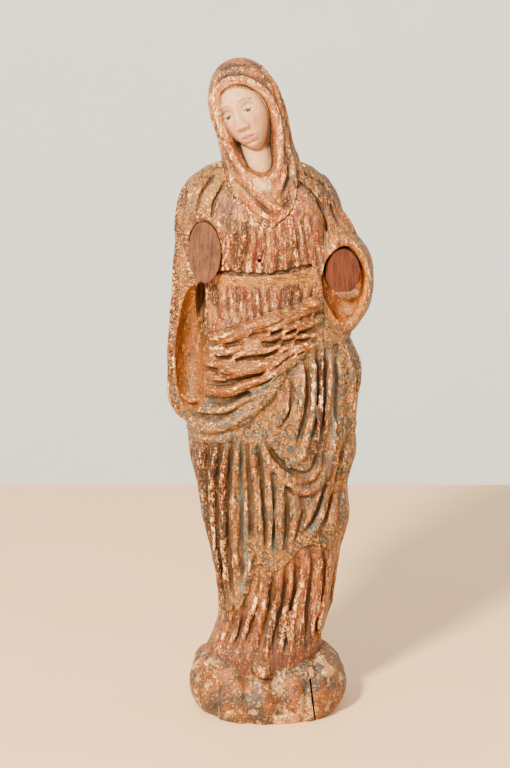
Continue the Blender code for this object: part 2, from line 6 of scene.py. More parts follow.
import bmesh
import bpy
import numpy as np
import openvdb
from mathutils import Matrix, Vector


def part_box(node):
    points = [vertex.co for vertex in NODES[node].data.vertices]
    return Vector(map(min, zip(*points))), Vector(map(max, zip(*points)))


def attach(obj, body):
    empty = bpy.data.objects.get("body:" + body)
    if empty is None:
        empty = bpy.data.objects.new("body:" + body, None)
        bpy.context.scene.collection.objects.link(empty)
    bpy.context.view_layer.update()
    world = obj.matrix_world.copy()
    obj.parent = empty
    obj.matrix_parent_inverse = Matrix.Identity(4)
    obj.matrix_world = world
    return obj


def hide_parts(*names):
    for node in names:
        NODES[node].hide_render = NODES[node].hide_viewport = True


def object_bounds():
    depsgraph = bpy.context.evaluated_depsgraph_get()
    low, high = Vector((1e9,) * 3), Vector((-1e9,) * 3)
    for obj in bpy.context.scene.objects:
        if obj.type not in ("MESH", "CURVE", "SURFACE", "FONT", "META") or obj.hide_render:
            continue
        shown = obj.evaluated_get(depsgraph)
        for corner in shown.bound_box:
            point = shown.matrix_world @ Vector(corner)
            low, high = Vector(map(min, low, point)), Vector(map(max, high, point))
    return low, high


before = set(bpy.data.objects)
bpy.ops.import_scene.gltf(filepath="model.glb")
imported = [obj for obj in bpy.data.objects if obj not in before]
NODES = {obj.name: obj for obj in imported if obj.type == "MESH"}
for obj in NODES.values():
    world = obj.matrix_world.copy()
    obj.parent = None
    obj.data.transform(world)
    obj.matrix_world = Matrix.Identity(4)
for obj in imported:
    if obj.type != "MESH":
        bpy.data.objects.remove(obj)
CAD_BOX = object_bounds()

# All shapes are in mm about the figure's own axis, as part.py has them. SHIFT takes them to the row frame.
CROSS_DOWEL = Vector((47.5, -28.0, 20.0))
dowel_low, dowel_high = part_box("base_cross_dowel_front")
SHIFT = ((Vector(dowel_low) + Vector(dowel_high)) / 2 * 1000 - CROSS_DOWEL) * Vector((1, 1, 0))
GAP = 0.3
FIGURE_BOX = [[end * 1000 - move for end, move in zip(corner, SHIFT)] for corner in CAD_BOX]

BODY_STEP = 1.05
HEAD_STEP = 0.6
STUB_STEP = 0.55

# Where the blocks meet, as in part.py: heights, a depth and widths. The crack leans to its top.
BASE_TOP, WING_LOW, HIP_LOW, ELBOW_LOW = 40.0, 272.0, 158.0, 350.0
BACK_FACE, WING_FACE, LEFT_FACE = 18.0, -46.0, 60.0
CRACK = {"at": 60.15, "half": 0.85, "lean": -10.02}
LOG_HOLLOW = {"centre": (16, 0, 246), "size": (40, 56, 308), "bevel": 9}
NECK_DOWEL = {"along": (0, -0.55, 1), "length": 46.0, "width": 12.0}
FAR = 700.0

# Outlines, lowest first: height, then x of the left and right sides and y of the front and back.
BODY = [
    (34, -44, 60, -46, 38), (50, -46, 61, -47, 38), (58, -44, 61, -47, 38), (64, -41, 61, -46, 37),
    (76, -36, 63, -43, 37), (90, -31, 67, -40, 36), (120, -32, 72, -39, 36), (150, -38, 76, -42, 38),
    (180, -45, 83, -46, 40), (215, -50, 81, -49, 41), (240, -56, 88, -51, 42), (262, -58, 88, -53, 43),
    (290, -56, 90, -56, 43), (320, -52, 93, -56, 43), (350, -47, 82, -53, 42), (380, -42, 66, -44, 40),
    (400, -43, 64, -42, 40), (420, -47, 66, -43, 40), (445, -56, 70, -45, 40), (462, -62, 73, -43, 39),
    (478, -63, 70, -37, 36), (490, -56, 61, -29, 31), (500, -42, 47, -21, 24), (507, -26, 32, -12, 15),
]
WING = [
    (272, -58, 22, -8, 20), (277, -67, -13, -17, 28), (284, -72, -8, -23, 33), (294, -76, -4, -27, 36),
    (310, -78, -2, -29, 38), (340, -79, -1, -29, 38), (370, -75, -5, -28, 38), (395, -73, -7, -27, 38),
    (430, -71, -9, -28, 37), (455, -70, -10, -29, 36), (470, -68, -12, -25, 34), (482, -63, -17, -19, 30),
    (491, -55, -25, -11, 24), (497, -49, -31, -5, 18),
]
ELBOW = [
    (350, 79, 38, -12, 22), (354, 86, 31, -19, 27), (362, 93, 24, -27, 32), (374, 101, 16, -33, 35),
    (388, 105, 12, -36, 37), (402, 106, 11, -37, 38), (416, 105, 12, -37, 38), (430, 100, 17, -35, 37),
    (441, 91, 26, -32, 36), (452, 84, 33, -29, 35), (465, 77, 40, -25, 33), (478, 71, 46, -20, 30),
    (488, 65, 52, -14, 26), (493, 61, 56, -10, 22),
]
HOOD = [
    (452, 4, 18, -47, -24), (459, -4, 28, -49, -8), (468, -13, 36, -49, 8), (480, -22, 40, -48, 22),
    (490, -27, 42, -46, 30), (500, -29, 42, -43, 33), (512, -30, 38, -41, 34), (524, -32, 33, -40, 35),
    (538, -36, 29, -40, 37), (552, -40, 26, -40, 37), (566, -41, 22, -38, 36), (578, -39, 16, -33, 32),
    (588, -34, 9, -26, 26), (594, -27, 1, -18, 18), (597.5, -19, -7, -9, 9),
]
BASE = [
    (0, -50, 74, -59, 46), (6, -56, 80, -61, 49), (16, -60, 84, -62, 51), (27, -60, 84, -61, 51),
    (35, -59, 80, -58, 49), (40, -57, 72, -54, 46),
]
ROCK_LIMIT = BASE[:-1] + [(42, -58, 78, -58, 46), (50, -54, 71, -55, 43), (58, -47, 63, -49, 38)]
ROUNDNESS = 2.3
FRONT, BACK = -1, 1
SEAM_HEIGHT, SEAM_SLOPE = 482.0, 0.55

# Folds: radius, height (below 0 for a channel) and the line as x and height. They lie on the front,
# or on the back where the name says so.
CHEST = [
    (2.6, 3.0, [(27, 452), (23, 440), (15, 435), (7, 431)]), (2.2, 2.6, [(0, 425), (-5, 419), (-9, 415)]),
    (2.2, 2.2, [(36, 462), (33, 440), (29, 421)]), (2.2, 2.2, [(51, 455), (50, 440), (46, 420)]),
    (2.0, -1.1, [(-34, 415), (-10, 414.5), (5, 414), (20, 416), (35, 418.5), (52, 421)]),
]
SHOULDERS = [
    (3.2, 3.0, [(-18, 484), (-26, 476), (-31, 462), (-33, 446)]),
    (2.4, 2.6, [(-14, 482), (-22, 470), (-27, 450)]), (2.2, 2.4, [(-27, 451), (-20, 458), (-12, 466)]),
    (2.6, 2.2, [(-30, 496), (-40, 482), (-44, 466)]), (2.6, 2.4, [(-38, 500), (-50, 486), (-56, 470)]),
    (2.0, -1.8, [(-26, 492), (-34, 478), (-37, 464)]), (2.0, -1.8, [(-36, 496), (-46, 482), (-50, 466)]),
    (3.2, 3.0, [(36, 486), (46, 478), (54, 462), (58, 440), (60, 420), (60, 400)]),
    (2.8, 2.6, [(40, 496), (54, 486), (64, 470), (67, 450)]),
    (2.2, -2.2, [(38, 492), (50, 482), (59, 466), (62, 440)]),
    (2.0, -2.0, [(44, 497), (60, 486), (69, 470)]),
]
APRON = [
    (5.4, 5.0, [(-38, 354), (-20, 361), (-5, 367), (10, 373), (30, 379), (45, 383), (60, 390), (68, 392)]),
    (3.2, 3.6, [(-40, 346), (0, 350), (25, 352), (48, 353), (60, 356)]),
    (3.0, 3.2, [(-8, 358), (20, 361.5), (45, 360), (58, 363)]),
    (3.0, 3.0, [(6, 367), (30, 368), (52, 372), (64, 380)]),
    (2.4, -2.6, [(-36, 350), (-10, 354), (20, 356), (52, 357)]),
    (2.4, -2.2, [(-2, 362.5), (20, 365), (45, 364), (58, 368)]),
    (2.2, -3.2, [(-42, 341), (-10, 341), (15, 346), (35, 349)]),
    (4.2, 4.4, [(-44, 336), (-28, 335), (-14, 330), (-4, 332), (12, 338), (30, 346), (46, 352)]),
    (2.8, -4.4, [(-46, 327), (-34, 328), (-26, 326), (-18, 322)]),
    (2.8, -3.8, [(-40, 318), (-28, 318), (-10, 323), (10, 331), (25, 339), (40, 348)]),
    (3.2, 4.2, [(-42, 312), (-30, 311), (-18, 312), (-9, 317), (10, 326), (22, 333), (38, 344)]),
    (2.8, -4.0, [(-46, 302), (-26, 302), (-12, 307), (5, 316), (18, 324)]),
    (3.4, 3.2, [(-54, 292), (-38, 291), (-20, 297), (-5, 306), (10, 317), (20, 325)]),
    (2.0, -2.4, [(-54, 285), (-34, 286), (-18, 291), (0, 301), (14, 314)]),
    (6.0, 4.0, [(-56, 276), (-40, 276), (-24, 281), (-10, 290), (2, 301), (12, 312), (22, 324)]),
]
HIP = [
    (2.6, 2.6, [(20, 320), (24, 302), (22, 287), (17, 276)]), (2.6, 2.6, [(34, 318), (28, 296), (18, 276)]),
    (3.6, 4.0, [(50, 348), (51, 320), (50, 300), (47, 280), (42, 260), (37, 249), (30, 243)]),
    (2.8, 3.0, [(57, 348), (57.5, 320), (57, 295), (55, 278), (51, 260)]),
    (2.8, 3.0, [(65, 350), (64, 320), (62, 295), (62, 272)]),
    (2.4, -3.2, [(54, 346), (54, 300), (51, 272)]), (2.2, -3.0, [(61, 346), (60.5, 310), (58, 272)]),
    (3.0, -3.4, [(71, 345), (72, 318), (71, 294), (70, 270)]),
    (3.0, 3.2, [(40, 340), (42, 318), (40, 298), (36, 282)]),
    (2.4, -3.0, [(45, 340), (46, 310), (43, 285), (37, 262)]),
    (2.2, -2.8, [(30, 330), (33, 312), (30, 296), (24, 280)]),
    (3.8, 4.4, [(68, 356), (76, 346), (82, 330), (84, 315), (83, 298), (84, 280), (85, 262)]),
    (3.0, 3.0, [(78, 352), (88, 338), (90, 320), (89, 300)]),
    (2.2, -2.6, [(78, 344), (86, 326), (88, 300), (88, 280)]),
]
SKIRT = [
    (3.4, 4.6, [(4, 270), (8, 260), (13, 249), (18, 241), (25, 231), (32, 224), (39, 219), (48, 219),
                (56, 224), (61, 232), (65, 242), (68, 256), (69, 272), (69, 292)]),
    (2.6, 2.8, [(19, 246), (28, 236), (37, 229), (46, 229), (53, 234), (57, 244)]),
    (2.6, -3.6, [(10, 266), (17, 253), (26, 243), (38, 235), (47, 236), (53, 244), (56, 258)]),
    (2.0, -2.6, [(18, 236), (28, 226), (38, 214), (50, 213)]),
    (2.8, 3.0, [(44, 272), (42, 258), (38, 249), (31, 245)]),
    (3.0, 3.6, [(60, 232), (58, 220), (54, 208), (49, 197), (44, 186), (36, 175)]),
    (3.2, 4.0, [(76, 272), (70, 245), (65, 222), (61, 207), (57, 193), (51, 180), (44, 169)]),
    (2.4, -3.4, [(60.5, 221), (56, 206), (50, 191), (42, 178)]),
    (2.8, -3.6, [(80, 262), (73, 238), (68, 214), (63, 194), (58, 178)]),
    (3.6, 3.6, [(84, 262), (79, 240), (77, 220), (76, 200), (74, 182)]),
    (2.6, 2.8, [(70, 222), (70, 200), (68, 182), (66, 168)]),
    (2.6, 3.4, [(-5, 272), (-2, 255), (0, 235), (2, 215), (4, 195), (6, 178), (6, 158)]),
    (2.4, -3.4, [(-7, 262), (-5, 232), (-4, 205), (-3, 166)]),
    (2.0, -3.0, [(2.5, 262), (6, 240), (8, 215), (10, 190), (11, 166)]),
    (2.4, 2.8, [(8, 262), (11, 240), (12.5, 220), (13.5, 200), (14, 176), (14, 156)]),
    (2.2, -3.0, [(17, 236), (17.5, 200), (17.5, 164)]),
    (3.0, 3.2, [(24, 230), (23, 210), (22.5, 190), (22, 170), (22, 156)]),
    (2.4, -2.8, [(29, 222), (29.5, 200), (29, 180), (27, 164)]),
    (3.0, 3.0, [(37, 214), (37, 200), (35, 185), (31, 168)]),
    (2.4, -2.8, [(43, 208), (43, 196), (39, 182), (36, 172)]),
    (2.8, 3.2, [(-13, 270), (-16, 250), (-17, 230), (-18, 205), (-18.5, 180), (-17, 158), (-16, 128),
                (-14, 114)]),
    (2.8, 3.4, [(-22, 268), (-25, 250), (-27, 230), (-28, 212), (-28, 190), (-27, 165), (-24, 140),
                (-22, 108)]),
    (2.8, 3.0, [(-34, 264), (-36, 242), (-37, 225), (-37, 205), (-36, 185), (-33, 160), (-30, 134),
                (-29, 106)]),
    (2.8, 2.6, [(-45, 264), (-47, 240), (-46, 220), (-44, 196), (-40, 172)]),
    (2.0, -2.6, [(-11, 264), (-11.5, 230), (-11.5, 195), (-11, 150), (-9, 124)]),
    (2.2, -3.2, [(-19, 264), (-21.5, 235), (-23, 205), (-23, 175), (-20, 140), (-18, 112)]),
    (2.2, -3.0, [(-29, 264), (-31.5, 240), (-33, 210), (-32, 180), (-28.5, 140), (-26, 108)]),
    (2.2, -2.8, [(-40, 264), (-42, 240), (-41.5, 215), (-40, 190), (-36, 160)]),
    (2.6, -4.0, [(-28, 171), (-25.5, 171)]), (2.2, 2.4, [(-3, 158), (-6, 140), (-10, 122)]),
    (1.8, -2.4, [(1, 158), (-1, 146)]), (3.6, 3.4, [(-54, 266), (-38, 265), (-24, 268), (-10, 277)]),
]
TUNIC = [
    (3.0, 3.4, [(9, 140), (4, 120), (-1, 106), (-6, 90), (-11, 74), (-18, 58)]),
    (2.6, 3.0, [(14, 138), (9, 110), (4, 94), (-1, 76), (-5, 60)]),
    (3.0, 3.8, [(25, 146), (21, 115), (17, 101), (14, 88), (11, 72), (10, 56)]),
    (2.8, 3.2, [(34, 150), (31, 120), (27, 100), (24, 78), (23, 60)]),
    (3.0, 3.8, [(42, 160), (42, 130), (38, 113), (35, 98), (32, 78), (34, 58)]),
    (2.6, 2.8, [(48, 162), (46, 140), (44, 118), (43, 96), (41, 76), (45, 58)]),
    (3.2, 3.4, [(58, 162), (57, 115), (54, 98), (51, 78), (55, 60)]),
    (2.8, 3.2, [(66, 162), (64, 120), (60, 98), (58, 78), (61, 62)]),
    (2.6, 2.6, [(-22, 102), (-24, 86), (-29, 70), (-36, 58)]),
    (2.6, 3.0, [(-13, 108), (-15, 90), (-20, 74), (-26, 60)]),
    (2.4, 2.6, [(-27, 96), (-30, 80), (-36, 68)]), (2.2, -3.2, [(18, 138), (14, 106), (9, 86), (4, 66)]),
    (2.2, -3.0, [(52, 156), (50, 118), (48, 98), (47, 66)]),
    (2.2, -3.2, [(38, 152), (35, 118), (31, 98), (28, 66)]),
    (1.9, -2.8, [(5, 134), (1, 105), (-4, 87), (-9, 68)]),
    (2.0, -2.8, [(62, 156), (61, 118), (57, 96), (56, 66)]),
    (2.0, -2.6, [(28, 144), (26, 116), (21, 92), (17, 66)]),
    (2.0, -2.6, [(-8, 116), (-9, 96), (-15, 76), (-22, 62)]),
    (2.0, -2.4, [(-18, 104), (-20, 88), (-26, 70)]), (4.4, -6.5, [(0, 143), (5, 145)]),
]
RIGHT_WING = [
    (3.4, 2.4, [(-52, 494), (-62, 482), (-68, 462), (-69.5, 430), (-71.5, 392), (-74.5, 355), (-76.5, 320),
                (-75.5, 299), (-72, 287), (-66, 278.5), (-58, 274.5)]),
    (2.4, 2.2, [(-56, 478), (-60, 462)]), (2.0, -2.2, [(-58, 482), (-64, 464), (-65, 448)]),
    (2.4, 1.8, [(-66, 300), (-58, 296), (-50, 298)]),
]
LEFT_ELBOW = [
    (3.2, 1.6, [(64, 446), (74, 443), (86, 437), (96, 424), (100.5, 406), (99, 388), (92, 373), (82, 363),
                (70, 360)]),
    (2.6, 2.4, [(64, 484), (73, 468), (84, 452), (93, 440)]),
    (2.2, -2.2, [(63, 474), (72, 458), (82, 447)]), (2.2, 1.8, [(62, 464), (70, 454)]),
]
BACK_FOLDS = [
    (5.0, 4.4, [(-40, 470), (-44, 400), (-48, 330), (-46, 250), (-38, 170), (-31, 100), (-33, 74)]),
    (3.6, -3.6, [(-34, 462), (-37, 400), (-39, 320), (-37, 240), (-30, 160), (-24, 90)]),
    (5.2, 5.0, [(-26, 476), (-28, 400), (-30, 320), (-28, 240), (-22, 160), (-17, 100), (-16, 74)]),
    (3.6, -4.0, [(-16, 474), (-19, 400), (-20, 320), (-18, 240), (-13, 160), (-9, 90)]),
    (5.4, 5.2, [(-6, 482), (-10, 400), (-11, 320), (-9, 240), (-4, 160), (-1, 100), (-1, 74)]),
    (3.6, -4.0, [(4, 478), (0, 400), (-1, 320), (1, 240), (5, 160), (7, 90)]),
    (5.2, 5.0, [(14, 482), (11, 400), (10, 320), (12, 240), (15, 160), (17, 100), (17, 74)]),
    (3.6, -4.0, [(24, 476), (22, 400), (21, 320), (22, 240), (25, 160), (26, 90)]),
    (5.2, 5.0, [(34, 476), (33, 400), (33, 320), (34, 240), (36, 160), (36, 100), (35, 74)]),
    (3.6, -4.0, [(44, 462), (44, 400), (46, 320), (47, 240), (48, 170), (46, 90)]),
    (5.0, 4.4, [(52, 458), (54, 400), (58, 330), (61, 250), (60, 180), (55, 110), (52, 76)]),
    (3.4, -3.4, [(66, 340), (70, 290), (71, 230), (68, 180), (62, 110)]),
    (4.4, 3.8, [(70, 346), (78, 300), (79, 240), (75, 190), (68, 120), (62, 80)]),
]
WING_BACK = [
    (4.2, 3.6, [(-54, 482), (-60, 440), (-64, 380), (-66, 320), (-64, 286)]),
    (3.0, -3.0, [(-50, 470), (-52, 420), (-55, 350), (-56, 286)]),
]
ELBOW_BACK = [
    (4.2, 3.6, [(64, 476), (76, 450), (88, 420), (92, 390), (88, 366)]),
    (3.0, -3.0, [(64, 456), (72, 430), (78, 400), (77, 370)]),
]
HOOD_FRONT = [
    (2.4, 2.0, [(-36, 570), (-29, 585), (-13, 590), (2, 586), (12, 576), (18, 562)]),
    (1.8, -1.6, [(-33, 576), (-25, 583), (-12, 585.5), (0, 582), (9, 573)]),
    (2.6, 2.4, [(-34, 578), (-38, 564), (-35, 548), (-31, 534), (-27, 520), (-23, 508), (-19, 494),
                (-14, 480), (-5, 468), (8, 460)]),
    (2.8, 2.6, [(6, 590), (16, 574), (21, 558), (24, 540), (28, 522), (32, 508), (33, 492), (31, 476),
                (24, 466), (10, 460)]),
    (2.4, 2.4, [(-14, 503), (-6, 496), (3, 488), (11, 479), (20, 473), (28, 471)]),
    (2.0, -2.4, [(-17, 496), (-8, 488), (2, 479), (12, 470), (20, 467)]),
    (2.2, 2.2, [(26, 512), (25, 500), (20, 488), (14, 480)]),
    (1.8, -2.0, [(29, 506), (28, 494), (24, 482)]), (2.0, -2.0, [(37, 506), (38, 490), (34, 474)]),
    (2.2, -2.0, [(-26, 496), (-22, 484), (-16, 473)]), (2.4, 2.0, [(38, 512), (40, 492), (37, 478)]),
    (2.4, 2.2, [(-2, 474), (6, 468), (14, 464)]), (2.0, -1.8, [(13, 590), (24, 566), (28, 542), (33, 518)]),
    (2.2, 1.8, [(18, 586), (26, 562), (30, 540), (37, 516)]),
]
HOOD_BACK = [
    (3.4, 2.8, [(-26, 584), (-33, 560), (-31, 530), (-27, 505)]),
    (2.6, -2.4, [(-18, 584), (-24, 556), (-22, 520), (-18, 500)]),
    (3.4, 3.0, [(-10, 588), (-14, 556), (-12, 524), (-8, 500)]),
    (2.6, -2.4, [(-2, 586), (-4, 556), (0, 524), (3, 500)]),
    (3.4, 3.0, [(6, 584), (8, 556), (12, 524), (16, 500)]),
    (2.6, -2.4, [(13, 578), (17, 552), (22, 524), (26, 502)]),
]
SIDE_FOLDS = [  # degrees round from the left side, height out, radius, lowest and highest point
    (176, 3.2, 3.4, 74, 258), (168, -3.0, 2.6, 80, 256), (190, -3.0, 2.6, 80, 256),
    (160, 3.0, 3.2, 90, 256), (4, 3.4, 3.6, 80, 346), (-8, -3.0, 2.6, 90, 344), (14, -3.0, 2.8, 90, 344),
    (24, 3.4, 3.6, 90, 346), (-17, 3.2, 3.2, 176, 340), (-3, 2.6, 3.0, 76, 160), (34, -3.0, 2.8, 100, 344),
]
HEMS = {
    "mantle": [
        (-60, 92), (-34, 96), (-20, 100), (-10, 108), (-6, 120), (-3, 134), (2, 141), (10, 142), (20, 143),
        (30, 150), (38, 160), (44, 166), (52, 167), (60, 163), (68, 162), (73, 166), (79, 173), (100, 178),
    ],
    "roll": [
        (-62, 265), (-50, 265), (-40, 266), (-30, 270), (-20, 276), (-10, 283), (0, 292), (10, 304),
        (20, 318), (28, 328), (36, 338), (44, 345), (56, 348), (66, 350), (100, 352),
    ],
    "apron": [
        (-60, 306), (-32, 306), (-20, 307), (-10, 313), (10, 324), (20, 331), (34, 341), (44, 348),
        (100, 352),
    ],
    "apron_top": [
        (-60, 350), (-38, 359), (-20, 367), (-5, 374), (10, 380), (30, 386), (45, 390), (60, 397), (100, 399),
    ],
}
BELT = {
    "low": [(-40, 403.5), (0, 403.5), (30, 404.5), (60, 407)],
    "high": [(-40, 412), (0, 412.5), (30, 415), (60, 418.5)],
}
ROCKS = [  # centre and radii
    ((-37, -19, 27), (24, 33, 28)), ((-40, 18, 24), (20, 28, 26)), ((4, -38, 16), (23, 24, 29)),
    ((34, -37, 17), (15, 24, 30)), ((61, -15, 27), (24, 31, 31)), ((53, -33, 15), (17, 22, 29)),
    ((-18, -40, 15), (19, 21, 27)), ((-8, 30, 24), (26, 20, 28)), ((26, 31, 24), (26, 20, 28)),
    ((60, 20, 25), (24, 27, 28)), ((-47, -8, 36), (10, 15, 17)), ((-24, -33, 34), (19, 16, 18)),
    ((26, -37, 33), (16, 15, 17)), ((45, -33, 35), (15, 16, 18)),
]
SHOE = ((7, -42, 48), (9, 15, 8))
APRON_KNOT = ((50, -44, 389), (9, 7, 5))

TEAL_LINES = [
    [(15.5, 240), (17, 200), (17, 160)], [(-8, 195), (-9, 150), (-12, 118)],
    [(68, 338), (69, 300), (68, 250)], [(71, 320), (71, 290), (70, 262)], [(52, 330), (53, 300), (50, 268)],
    [(-12, 262), (-12.5, 225), (-12, 170)], [(60, 215), (56, 195), (50, 180)],
]
# Painted shade: dark lines down the carved grooves of the skirt and hip, as x and height.
SHADED_GROOVE_LINES = [
    [(-44, 262), (-46, 232), (-44, 200)], [(-38, 262), (-39, 232), (-38, 196)],
    [(-31, 262), (-32, 226), (-31, 180)], [(-21, 262), (-22, 222), (-21, 150)],
    [(-7, 262), (-5, 225), (-4, 180)], [(60, 340), (61, 300), (58, 262)], [(66, 250), (61, 222), (52, 190)],
    [(29, 224), (29, 190), (27, 164)], [(72, 262), (68, 230), (63, 196)],
]

RIGHT_STUB = {"centre": (-44, 433), "half": (14.5, 27), "front": -43, "back": -13}
LEFT_STUB = {"centre": (77, 414), "half": (15.5, 20), "front": -31, "back": 0, "floor": 396.0}
LEFT_HOOD = {"centre": (79.5, 406), "half": (21, 31), "back": -18}
WING_HOLLOW = ((-57, -33, 342), (16, 29, 61))
# The small hole in the chest: x, height, radius and depth below the chest's front.
CHEST_HOLE = (4, 427, 1.9, 16)
CHEST_FRONT = -43
FACE = {"at": (-8.5, -12, 553), "lean": -24, "turn": -14, "tip": -10}
OPENING = [
    (-8, 503), (-14, 511), (-21, 524), (-26, 538), (-30, 550), (-33, 561), (-32.5, 570), (-28, 576),
    (-20, 580), (-9, 580), (1, 575.5), (9, 568), (14.5, 558), (18, 546), (19.5, 534), (20.5, 520),
    (20, 509), (15, 501), (5, 499),
]

# On the face: points across and up, lift off the skin, radius, whether it is cut in, and blend.
EYE_STROKES = [
    ([(4.6, -0.9), (7.0, 1.0), (10.2, 1.9), (13.2, 0.8), (15.4, -1.3)], 0.1, 0.85, False, 0.8),
    ([(5.6, -1.6), (8.0, -1.0), (10.4, -0.8), (13.0, -1.2), (14.6, -2.0)], 1.3, 0.55, True, 0.4),
    ([(5.2, -2.2), (8.0, -3.4), (10.6, -3.7), (13.4, -3.0), (15.2, -1.8)], 0.0, 0.8, False, 0.9),
    ([(5.2, 2.4), (8.0, 4.2), (11.0, 4.4), (15.0, 2.4)], 0.35, 0.6, True, 0.8),
]
MOUTH_STROKES = [
    ([(-7.4, -22.3), (-4.5, -21.8), (-1.7, -20.9), (0, -21.4), (1.7, -20.9), (4.5, -21.8), (7.4, -22.3)],
     -0.1, 1.15, False, 1.0),
    ([(-5.8, -24.1), (-3.0, -25.1), (0, -25.6), (3.0, -25.1), (5.8, -24.1)], -0.2, 1.4, False, 1.0),
    ([(-7.8, -22.5), (-4.0, -22.9), (0, -23.3), (4.0, -22.9), (7.8, -22.5)], 0.9, 0.6, True, 0.5),
    ([(0, -17.2), (0, -20.2)], 0.5, 0.8, True, 0.8),
]
# Swellings of the face: height, place from its middle line, height on it, width, tallness.
FACE_FORM = [
    (1.3, 8.5, 8.5, 7, 2.6), (-3.4, 9.6, 1.6, 6.2, 4.6), (1.2, 12.5, -10, 7, 6.5),
    (1.3, 0, -22.5, 9, 4.2), (3.0, 0, -32, 6.5, 4.0), (-1.2, 0, -27.6, 6, 1.7),
]
# Warmer colour on cheeks, chin and nose: strength, then place and size as above.
FLUSHES = [(0.75, 13.0, -10, 7, 6.5), (0.35, 0, -32, 6, 4), (0.35, 0, -13, 4, 3)]


# ---- Solids as fields of distance ----


def curve(points, spacing=4.0):
    """A smooth line through the points, as many points about that far apart."""
    points = np.asarray(points, float)
    if len(points) < 3:
        count = max(int(np.linalg.norm(points[1] - points[0]) / spacing), 1)
        return points[0] + (points[1] - points[0]) * np.linspace(0, 1, count + 1)[:, None]
    padded = np.vstack([2 * points[0] - points[1], points, 2 * points[-1] - points[-2]])
    out = []
    for i in range(1, len(padded) - 2):
        p0, p1, p2, p3 = padded[i - 1 : i + 3]
        count = max(int(np.linalg.norm(p2 - p1) / spacing), 1)
        for t in np.arange(count) / count:
            out.append(
                0.5 * (2 * p1 + (p2 - p0) * t + (2 * p0 - 5 * p1 + 4 * p2 - p3) * t**2
                       + (3 * p1 - p0 - 3 * p2 + p3) * t**3)
            )
    out.append(padded[-2])
    return np.array(out)


def station_values(stations, heights):
    """The stations' four sides at each height, on smooth curves through them."""
    table = np.asarray(stations, float)
    z = np.clip(np.asarray(heights, float), table[0, 0], table[-1, 0])
    i = np.clip(np.searchsorted(table[:, 0], z, side="right"), 1, len(table) - 1)
    low, high = table[i - 1], table[i]
    before, after = table[np.maximum(i - 2, 0)], table[np.minimum(i + 1, len(table) - 1)]
    span = (high[..., :1] - low[..., :1])
    t = ((z - low[..., 0]) / span[..., 0])[..., None]
    slope_low = (high - before) / (high[..., :1] - before[..., :1]) * span
    slope_high = (after - low) / (after[..., :1] - low[..., :1]) * span
    values = (
        (2 * t**3 - 3 * t**2 + 1) * low + (t**3 - 2 * t**2 + t) * slope_low
        + (3 * t**2 - 2 * t**3) * high + (t**3 - t**2) * slope_high
    )
    return values[..., 1], values[..., 2], values[..., 3], values[..., 4]


def surface_y(stations, side, x, z):
    """The depth of a loft's front or back at a point of x and height."""
    left, right, front, back = station_values(stations, z)
    share = np.clip(np.abs(2 * x - left - right) / np.abs(right - left), 0, 0.985)
    return (1 - share**ROUNDNESS) ** (1 / ROUNDNESS) * (front if side == FRONT else back)


def on_surface(stations, side, line):
    """Points of the line on that side of a loft, and the way out of it at each."""
    flat = curve(line)
    x, z = flat[:, 0], flat[:, 1]
    left, right, front, back = station_values(stations, z)
    middle, half = (left + right) / 2, np.abs(right - left) / 2
    x = middle + np.clip(x - middle, -0.985 * half, 0.985 * half)
    y = surface_y(stations, side, x, z)
    deep = np.where(side == FRONT, -front, back)
    out_x = np.sign(x - middle) * np.abs((x - middle) / half) ** (ROUNDNESS - 1) / half
    out_y = np.sign(y) * np.abs(y / deep) ** (ROUNDNESS - 1) / deep
    out = np.stack([out_x, out_y, np.zeros_like(x)], axis=1)
    out /= np.linalg.norm(out, axis=1, keepdims=True)
    return np.stack([x, y, z], axis=1), out


def smooth_min(a, b, blend):
    """The smaller of two distances, rounded where they are within blend of each other."""
    share = np.clip(0.5 + 0.5 * (b - a) / blend, 0, 1)
    return b + (a - b) * share - blend * share * (1 - share)


class Field:
    """A solid as distances in mm on a regular grid, below 0 inside it."""

    def __init__(self, low, high, step):
        self.low, self.step = np.array(low, np.float32), step
        self.axes = [np.arange(low[k], high[k] + step, step, dtype=np.float32) for k in range(3)]
        self.values = np.full([len(axis) for axis in self.axes], 60, np.float32)

    def window(self, low, high):
        slices = []
        for k in range(3):
            start = max(int((low[k] - self.low[k]) / self.step), 0)
            stop = min(int((high[k] - self.low[k]) / self.step) + 2, len(self.axes[k]))
            slices.append(slice(start, max(stop, start + 1)))
        x, y, z = (self.axes[k][slices[k]] for k in range(3))
        return tuple(slices), (x[:, None, None], y[None, :, None], z[None, None, :])

    def everywhere(self):
        return self.window([axis[0] for axis in self.axes], [axis[-1] for axis in self.axes])

    def like(self, values):
        """Other values on the same grid."""
        other = copy.copy(self)
        other.values = values
        return other

    def join(self, slices, other, blend=1.0):
        self.values[slices] = smooth_min(self.values[slices], other, blend)

    def cut(self, slices, other, blend=1.0):
        self.values[slices] = -smooth_min(-self.values[slices], other, blend)

    def sample(self, points):
        """The distance at any points, straight between the grid's own."""
        place = (np.asarray(points, np.float32) - self.low) / self.step
        top = np.array(self.values.shape) - 2
        cell = np.clip(np.floor(place).astype(int), 0, top)
        t = np.clip(place - cell, 0, 1)
        total = 0
        for corner in range(8):
            bits = [(corner >> k) & 1 for k in range(3)]
            weight = np.prod([t[..., k] if bits[k] else 1 - t[..., k] for k in range(3)], axis=0)
            total = total + weight * self.values[tuple(cell[..., k] + bits[k] for k in range(3))]
        return total


